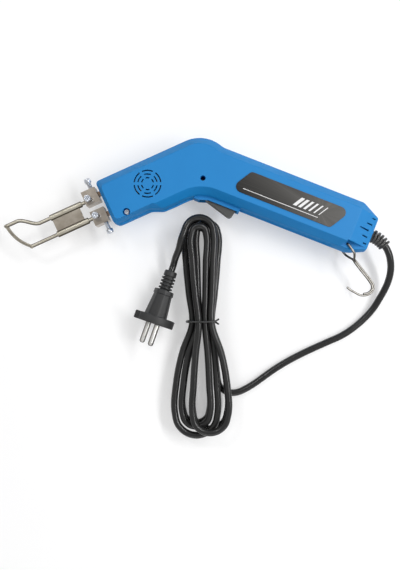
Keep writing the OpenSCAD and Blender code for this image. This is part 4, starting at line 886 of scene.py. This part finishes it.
bars = ink_slabs(BAR_STARTS, BAR_WIDTHS, BAR_LOW, BAR_HIGH)
long_line = ink_slabs(LINE_START, LINE_LEN, LINE_LOW, LINE_HIGH)
ink = piece("plate_print", bars, long_line)

# %% [markdown]
# ## Shared effects
# Moulded plastic has a fine grain and slow changes of tone; plated metal has streaks and smudges. Each
# effect is built once as a node group and placed in every material that needs it, with its own values. A
# group only puts out masks and heights; the shader itself stays in the material. Every node and socket
# knows the tree it is in, as its id_data, so most helpers need no tree.

# %% Node helpers
def feed(node, inputs):
    """Link each named input of a node to a socket, or set it to a plain value; colours get an alpha."""
    for label, value in inputs.items():
        socket = node.inputs[label]
        if isinstance(value, bpy.types.NodeSocket):
            node.id_data.links.new(value, socket)
        else:
            socket.default_value = (*value, 1) if socket.type == "RGBA" else value


def add_node(tree, kind, inputs, **settings):
    """A new shader node with its settings and inputs; returns its outputs."""
    node = tree.nodes.new("ShaderNode" + kind)
    for label, value in settings.items():
        setattr(node, label, value)
    feed(node, inputs)
    return node.outputs


def noise(vector, scale, detail=3.0, rough=0.55):
    """Noise on a vector: a value from 0 to 1."""
    inputs = {"Vector": vector, "Scale": scale, "Detail": detail, "Roughness": rough}
    return add_node(vector.id_data, "TexNoise", inputs)["Fac"]


def ramp(value, low, high, to_low=0.0, to_high=1.0):
    """A value mapped from low..high to to_low..to_high, and kept between them."""
    inputs = {"Value": value, "From Min": low, "From Max": high, "To Min": to_low, "To Max": to_high}
    return add_node(value.id_data, "MapRange", inputs)["Result"]


def maths(operation, a, b=0.0):
    """A Math node on a socket and a second socket or number."""
    return add_node(a.id_data, "Math", {0: a, 1: b}, operation=operation)["Value"]


def blend(amount, a, b):
    """A mix of two colours, or of a socket and a colour, by an amount from 0 to 1.

    A Mix node has inputs for every kind of data under the same names, so those for colours go by number."""
    return add_node(amount.id_data, "Mix", {0: amount, 6: a, 7: b}, data_type="RGBA")[2]


def mapped(vector, turn=0.0, scale=(1, 1, 1)):
    """A vector turned about Z and stretched."""
    inputs = {"Vector": vector, "Rotation": (0, 0, turn), "Scale": scale}
    return add_node(vector.id_data, "Mapping", inputs)["Vector"]


def bump(height, distance, strength):
    """A normal tilted by a height; distance in metres."""
    inputs = {"Height": height, "Distance": distance, "Strength": strength}
    return add_node(height.id_data, "Bump", inputs)["Normal"]


def flatness(tree):
    """How level the surface lies: 1 where it looks straight up or down, 0 where it is upright."""
    normal = add_node(tree, "TexCoord", {})["Normal"]
    return maths("ABSOLUTE", add_node(tree, "SeparateXYZ", {"Vector": normal})["Z"])


print("node helpers ready")

# %% Mould grain and metal wear
def new_group(name, number, value, outputs):
    """An empty shader node group: a vector and one named number go in, named numbers come out.

    Returns the group, the outputs of its input node, and its output node."""
    group = bpy.data.node_groups.new(name, "ShaderNodeTree")
    group.interface.new_socket("Vector", in_out="INPUT", socket_type="NodeSocketVector")
    socket = group.interface.new_socket(number, in_out="INPUT", socket_type="NodeSocketFloat")
    socket.default_value = value
    for label in outputs:
        group.interface.new_socket(label, in_out="OUTPUT", socket_type="NodeSocketFloat")
    return group, group.nodes.new("NodeGroupInput").outputs, group.nodes.new("NodeGroupOutput")


def place(group, vector, **values):
    """A group node in a material, fed by a vector and set to its own values."""
    return add_node(vector.id_data, "Group", {"Vector": vector, **values}, node_tree=group)


mould_grain, enter, leave = new_group("mould grain", "Grain", 1800.0, ["Height", "Tone", "Scuff"])
slow = noise(enter["Vector"], 22.0, 4.0)
rub = noise(mapped(enter["Vector"], 0.5, (1, 3, 1)), 160.0, 6.0, 0.7)
feed(leave, {
    "Height": noise(enter["Vector"], enter["Grain"], 2.0),
    "Tone": ramp(slow, 0.3, 0.7),
    "Scuff": ramp(rub, 0.58, 0.75),
})

metal_wear, enter, leave = new_group("metal wear", "Streaks", 900.0, ["Streak", "Smudge"])
long_way = mapped(enter["Vector"], 0, (0.06, 1, 1))
smudge = noise(enter["Vector"], 110.0, 5.0, 0.6)
feed(leave, {
    "Streak": noise(long_way, enter["Streaks"], 4.0, 0.6),
    "Smudge": ramp(smudge, 0.35, 0.7),
})
print("groups:", [group.name for group in bpy.data.node_groups])

# %% [markdown]
# ## Materials
# A material starts from one Principled shader. What is the same all over, such as metal, is set on the
# shader; what changes over the surface comes through nodes from object coordinates, which are metres in the
# frame here. Each table below names a material, the pieces and solids that get it, and its values.

# %% Plastics
SIDE_FLAT = (0.25, 0.95)
TONE_ROUGH, SCUFF_ROUGH = 0.06, 0.08


def start_material(name):
    """A new node material; returns it with its tree, its shader and its object coordinates."""
    material = bpy.data.materials.new(name)
    material.use_nodes = True
    tree = material.node_tree
    shader = next(node for node in tree.nodes if node.type == "BSDF_PRINCIPLED")
    return material, tree, shader, add_node(tree, "TexCoord", {})["Object"]


def give(material, names):
    """Make a material the only one of each named piece or solid."""
    for name in names:
        data = bpy.data.objects[name].data
        data.materials.clear()
        data.materials.append(material)
    print(material.name, "on", *names)


def moulded(name, colour, shade, rough, grain=1800.0, depth=0.02, gloss=0.5, side_gloss=None):
    """Moulded plastic: two close tones in slow patches, a fine grain, and scuffs that are a little rougher.

    The grain's depth is in millimetres. Side gloss is that of upright walls, duller than the faces."""
    material, tree, shader, vector = start_material(name)
    out = place(mould_grain, vector, Grain=grain)
    tone = ramp(out["Tone"], 0, 1, rough, rough + TONE_ROUGH)
    if side_gloss is not None:
        gloss = ramp(flatness(tree), *SIDE_FLAT, side_gloss, gloss)
    feed(shader, {
        "Base Color": blend(out["Tone"], colour, shade),
        "Roughness": maths("ADD", tone, ramp(out["Scuff"], 0, 1, 0, SCUFF_ROUGH)),
        "Specular IOR Level": gloss,
        "Normal": bump(out["Height"], depth * MM, 0.6),
    })
    return material


PLASTICS = {
    "housing blue": (
        ["left_half", "right_half", "parting_bead"],
        (0.011, 0.22, 0.56), (0.009, 0.203, 0.525), 0.5, 2600.0, 0.015, 0.34, 0.05,
    ),
    "trigger grey": (["trigger_lever"], (0.075, 0.075, 0.07), (0.06, 0.06, 0.056), 0.5, 2200.0),
    "plug black": (["plug_moulding"], (0.022, 0.022, 0.023), (0.03, 0.03, 0.03), 0.5, 2400.0, 0.03),
    "switch black": (["switch_body", "cord_clamp"], (0.03, 0.03, 0.032), (0.045, 0.045, 0.045), 0.5),
    "pale nylon": (["bobbin", "switch_button"], (0.78, 0.75, 0.66), (0.7, 0.66, 0.56), 0.45),
    "heat board": (["nose_insulator"], (0.15, 0.085, 0.045), (0.1, 0.055, 0.03), 0.6, 900.0, 0.06),
    "red wire": (["live_lead"], (0.5, 0.04, 0.03), (0.42, 0.03, 0.03), 0.4),
    "blue wire": (["neutral_lead"], (0.04, 0.13, 0.5), (0.03, 0.1, 0.42), 0.4),
    "black wire": (["switch_lead"], (0.025, 0.025, 0.025), (0.04, 0.04, 0.04), 0.4),
    "sleeve rubber": (["bend_protector"], (0.045, 0.044, 0.042), (0.06, 0.058, 0.055), 0.4),
    "tie black": (["tie_wire_loop"], (0.02, 0.02, 0.02), (0.035, 0.035, 0.035), 0.42),
    "ink white": (["plate_print"], (0.82, 0.82, 0.82), (0.74, 0.74, 0.75), 0.45, 3000.0, 0.004),
}
for name, (names, *values) in PLASTICS.items():
    give(moulded(name, *values), names)

# %% [markdown]
# The cord's skin is soft PVC: glossy, with long faint lines from the nozzle it was pressed through, and dull
# patches where hands have been. The lines follow the cord, so they read the UV map that was laid along it.

# %% Cord skin
CORD_TONES = (0.010, 0.010, 0.010), (0.016, 0.016, 0.016)
CORD_ROUGH = (0.25, 0.33)
LINES_ALONG, LINES_ROUND = 3, 26


def cord_skin(name):
    """Glossy black PVC: lines from noise that hardly changes along the cord, and slow dull patches."""
    material, tree, shader, vector = start_material(name)
    way = add_node(tree, "UVMap", {}, uv_map="way")["UV"]
    lines = noise(mapped(way, 0, (LINES_ALONG, LINES_ROUND, 1)), 1.0, 2.0)
    out = place(mould_grain, vector, Grain=1200.0)
    feed(shader, {
        "Base Color": blend(out["Tone"], *CORD_TONES),
        "Roughness": ramp(out["Tone"], 0, 1, *CORD_ROUGH),
        "Specular IOR Level": 0.5,
        "Normal": bump(lines, 0.012 * MM, 0.5),
    })
    return material


give(cord_skin("cord black"), ["mains_cord", "cord_tail"])

# %% [markdown]
# Plated metal is bright, and its streaks run along the nose, so the vector is turned with the nose first.
# Smudges tint it a little brown, as heat and hands do.

# %% Metals
# Painted flank shade: round bars darken fully below the first flatness and not at all above the second
PAINTED_FLANK_FLAT = (0.68, 0.985)
BRIGHTEST, DULLEST = 0.88, 1.15


def plated(
    name, colour, stain, rough, streaks=900.0, stained=(0.4, 0.9), turn=NOSE_TILT, depth=0.01, painted_flank_shade=None
):
    """Plated metal: streaks change the roughness, smudges tint the colour towards a stain.

    The depth of the streaks is in millimetres. Flank shade is a painted shade and reflection on the sides of
    round
    bars: a dark colour that grows as the surface turns away from straight up or down."""
    material, tree, shader, vector = start_material(name)
    out = place(metal_wear, mapped(vector, -turn), Streaks=streaks)
    tint = blend(ramp(out["Smudge"], 0, 1, *stained), colour, stain)
    # Painted shade and reflection: a dark colour on the sides of round bars, darkest where they stand upright
    if painted_flank_shade:
        tint = blend(ramp(flatness(tree), *PAINTED_FLANK_FLAT), painted_flank_shade, tint)
    feed(shader, {
        "Base Color": tint,
        "Roughness": ramp(out["Streak"], 0.3, 0.7, rough * BRIGHTEST, rough * DULLEST),
        "Metallic": 1.0,
        "Normal": bump(out["Streak"], depth * MM, 0.4),
    })
    return material


# The last colour of a row, where there is one, is a painted shade on the sides of round bars
METALS = {
    "nickel rod": (
        ["straight_rod", "swung_rod", "rod_sleeve"], (0.72, 0.68, 0.58), (0.54, 0.5, 0.4), 0.44,
        900.0, (0.0, 0.7), NOSE_TILT, 0.001, (0.07, 0.058, 0.04),
    ),
    "nickel block": (
        ["upper_block", "lower_block"], (0.55, 0.495, 0.43), (0.41, 0.355, 0.3), 0.32, 700.0, (0.0, 0.9)
    ),
    "zinc": (
        ["housing_screws", "face_clamp_screws", "side_clamp_screws", "clamp_screws"],
        (0.72, 0.75, 0.80), (0.55, 0.58, 0.64), 0.36, 1500.0, (0.0, 0.6),
    ),
    "bright steel": (
        ["wire_hook", "lever_spring", "trigger_pin"], (0.54, 0.52, 0.49), (0.38, 0.36, 0.32), 0.5,
        150.0, (0.0, 0.7), NOSE_TILT, 0.001, (0.1, 0.09, 0.075),
    ),
    "pin nickel": (
        ["pin_pair"], (0.92, 0.91, 0.88), (0.82, 0.8, 0.76), 0.32,
        900.0, (0.0, 0.5), PLUG_HEADING, 0.0003, (0.1, 0.09, 0.08),
    ),
    "hot steel": (
        ["hot_strip"], (0.42, 0.39, 0.33), (0.24, 0.21, 0.16), 0.34, 1100.0, (0.1, 0.9), NOSE_TILT, 0.03
    ),
    "tinned copper": (["conductor_bar"], (0.30, 0.22, 0.16), (0.2, 0.13, 0.08), 0.4, 900.0, (0.1, 0.7)),
    "brass": (["switch_tabs"], (0.78, 0.62, 0.3), (0.6, 0.44, 0.2), 0.3),
    "core plates": (["transformer_core", "core_strap"], (0.22, 0.22, 0.23), (0.12, 0.1, 0.09), 0.5, 2600.0),
    "enamel wire": (
        ["primary_coil"], (0.5, 0.2, 0.07), (0.36, 0.12, 0.04), 0.3,
        2400.0, (0.4, 0.9), NOSE_TILT + math.pi / 2,
    ),
}
for name, (names, *values) in METALS.items():
    give(plated(name, *values), names)

# %% [markdown]
# The flat web of the sleeve is duller than its tubes, because it was pressed and not drawn. A mesh holds
# more than one material: each face has the number of its material in the object's list. The faces of the web
# are those that look straight up or down near the parting plane.

# %% Web of the sleeve
WEB_NEAR, WEB_FLAT = 1.2 * MM, 0.99
sleeve = bpy.data.objects["rod_sleeve"].data
middle = np.empty(3 * len(sleeve.polygons))
facing = np.empty(3 * len(sleeve.polygons))
sleeve.polygons.foreach_get("center", middle)
sleeve.polygons.foreach_get("normal", facing)
on_web = (np.abs(middle[2::3] - MID_Z) < WEB_NEAR) & (np.abs(facing[2::3]) > WEB_FLAT)
nickel_web = plated("nickel web", (0.52, 0.47, 0.4), (0.36, 0.31, 0.25), 0.36, 700.0, (0.0, 1.0))
sleeve.materials.append(nickel_web)
sleeve.polygons.foreach_set("material_index", on_web.astype(np.int32))
print("web faces:", on_web.sum())

# %% [markdown]
# The plate is dark anodised aluminium, brushed round a centre, so light gathers on it in a fan; here that fan
# is a painted sheen in its colour, which also grows lighter towards the centre. The angle round that centre
# drives the streaks and the painted sheen: the same noise all along each ray.

# %% Brushed plate
PLATE_CENTRE = (107, 3.3)
# Painted sheen: how far the plate brightens towards its centre, and how much the broad fan, the brush lines
# and that rise lighten it
SHEEN_RISE_LENGTH = 75 * MM
PAINTED_FAN_SHEEN, HAIR_LINES_AND_SHEEN, PAINTED_SHEEN_RISE = 0.25, 0.2, 0.4
HAIR_ROUGH = (0.3, 0.46)


def fan_brushed(name, dark, light):
    """Dark metal brushed in a fan: the angle round a centre drives a painted fan sheen with its brush lines,
    roughness and fine relief.

    A painted sheen also rises along the plate towards the centre."""
    material, tree, shader, vector = start_material(name)
    centre = handle_points(*PLATE_CENTRE, 0).tolist()
    moved = add_node(tree, "VectorMath", {0: vector, 1: centre}, operation="SUBTRACT")["Vector"]
    split = add_node(tree, "SeparateXYZ", {"Vector": moved})
    angle = maths("ARCTAN2", split["Y"], split["X"])
    ray = add_node(tree, "CombineXYZ", {"X": angle})["Vector"]
    # Painted sheen: a broad fan of lighter tone round the centre, and brush lines that lighten some rays more
    broad_sheen = ramp(noise(ray, 2.2, 2.0), 0.35, 0.65, 0, PAINTED_FAN_SHEEN)
    hair = noise(ray, 60.0, 3.0, 0.7)
    rays = maths("ADD", broad_sheen, ramp(hair, 0.3, 0.7, 0, HAIR_LINES_AND_SHEEN))
    # Painted sheen: the tone also rises towards the centre of the brushing
    tone = maths("ADD", rays, ramp(split["X"], -SHEEN_RISE_LENGTH, 0, 0, PAINTED_SHEEN_RISE))
    feed(shader, {
        "Base Color": blend(tone, dark, light),
        "Roughness": ramp(hair, 0.3, 0.7, *HAIR_ROUGH),
        "Metallic": 0.55,
        "Normal": bump(hair, 0.004 * MM, 0.5),
    })
    return material


give(fan_brushed("plate dark", (0.008, 0.0078, 0.0075), (0.14, 0.136, 0.129)), ["handle_plate"])

# %% [markdown]
# ## Table and light
# The table is plain white. The main lamp is a long tube at the right, so shadows fall to the left as in the
# photograph and the cords get long highlights. A weaker lamp at the upper left does the same for the rods,
# and a low one at the near side lights the walls that look that way. The sky fills the shadows. It is
# brightest in a band half way up and darker below and straight above, which gives bright metal and glossy
# plastic something dark to mirror. To the camera alone the sky is plain white.

# %% Table
TABLE_SIZE = 3.0
TABLE_DROP = 0.1 * MM
# What is seen of the table is greyer and glows, which keeps its shadows pale; the light that it throws back
# onto the tool comes from plain white
TABLE_SEEN = (0.65, 0.65, 0.65), (0.625, 0.625, 0.63)
TABLE_WHITE = (0.9, 0.9, 0.9)
TABLE_GLOW = 0.375
table_mesh = bpy.data.meshes.new("table")
table_corners = np.array([(-1, -1), (1, -1), (1, 1), (-1, 1)]) * TABLE_SIZE / 2
table_mesh.from_pydata([(x, y, -TABLE_DROP) for x, y in table_corners.tolist()], [], [(0, 1, 2, 3)])
table = show("table", table_mesh)

table_white, tree, shader, vector = start_material("table white")
clean = blend(noise(vector, 14.0, 3.0), *TABLE_SEEN)
rays = add_node(tree, "LightPath", {})
seen = maths("MAXIMUM", rays["Is Camera Ray"], rays["Is Glossy Ray"])
seen = maths("MAXIMUM", seen, rays["Is Transmission Ray"])
feed(shader, {
    "Base Color": blend(seen, TABLE_WHITE, clean),
    "Roughness": 0.75,
    "Specular IOR Level": 0.2,
    "Emission Color": (1, 1, 1),
    "Emission Strength": maths("MULTIPLY", seen, TABLE_GLOW),
})
table_mesh.materials.append(table_white)
print("table:", TABLE_SIZE, "m wide")

# %% Lamps and sky
LAMP_AIM = (0.02, -0.1, 0.0)
# Name, place, long and short side, power
LAMPS = (
    ("main lamp", (0.74, 0.10, 0.97), (1.0, 0.16), 8.8),
    ("second lamp", (-0.48, 0.52, 1.0), (0.3, 0.2), 2.0),
    ("near lamp", (0.1, -1.15, 0.62), (0.9, 0.4), 1.8),
)
SKY_LEVEL = 0.66
SKY_TONES = ((0.0, 0.55), (0.35, 0.65), (0.58, 0.95), (0.78, 0.95), (0.92, 0.62), (1.0, 0.5))

for name, lamp_place, (long_side, short_side), power in LAMPS:
    lamp = show(name, bpy.data.lights.new(name, "AREA"))
    lamp.data.shape = "RECTANGLE"
    lamp.data.size = long_side
    lamp.data.size_y = short_side
    lamp.data.energy = power
    lamp.location = lamp_place
    to_aim = Vector(LAMP_AIM) - Vector(lamp_place)
    lamp.rotation_euler = to_aim.to_track_quat("-Z", "Y").to_euler()

sky = bpy.data.worlds.new("studio sky")
sky.use_nodes = True
tree = sky.node_tree
background = next(node for node in tree.nodes if node.type == "BACKGROUND")
direction = add_node(tree, "TexCoord", {})["Generated"]
bands = tree.nodes.new("ShaderNodeValToRGB")
for _ in SKY_TONES[2:]:
    bands.color_ramp.elements.new(0.5)
for stop, (height, tone) in zip(bands.color_ramp.elements, SKY_TONES):
    stop.position = height
    stop.color = (tone, tone, tone, 1)
feed(bands, {"Fac": add_node(tree, "SeparateXYZ", {"Vector": direction})["Z"]})
seen = add_node(tree, "LightPath", {})["Is Camera Ray"]
feed(background, {
    "Color": blend(seen, bands.outputs["Color"], (1, 1, 1)),
    "Strength": ramp(seen, 0, 1, SKY_LEVEL, 1),
})
bpy.context.scene.world = sky
bpy.context.scene.view_settings.view_transform = "Standard"
print(len(LAMPS), "lamps, sky", SKY_LEVEL)
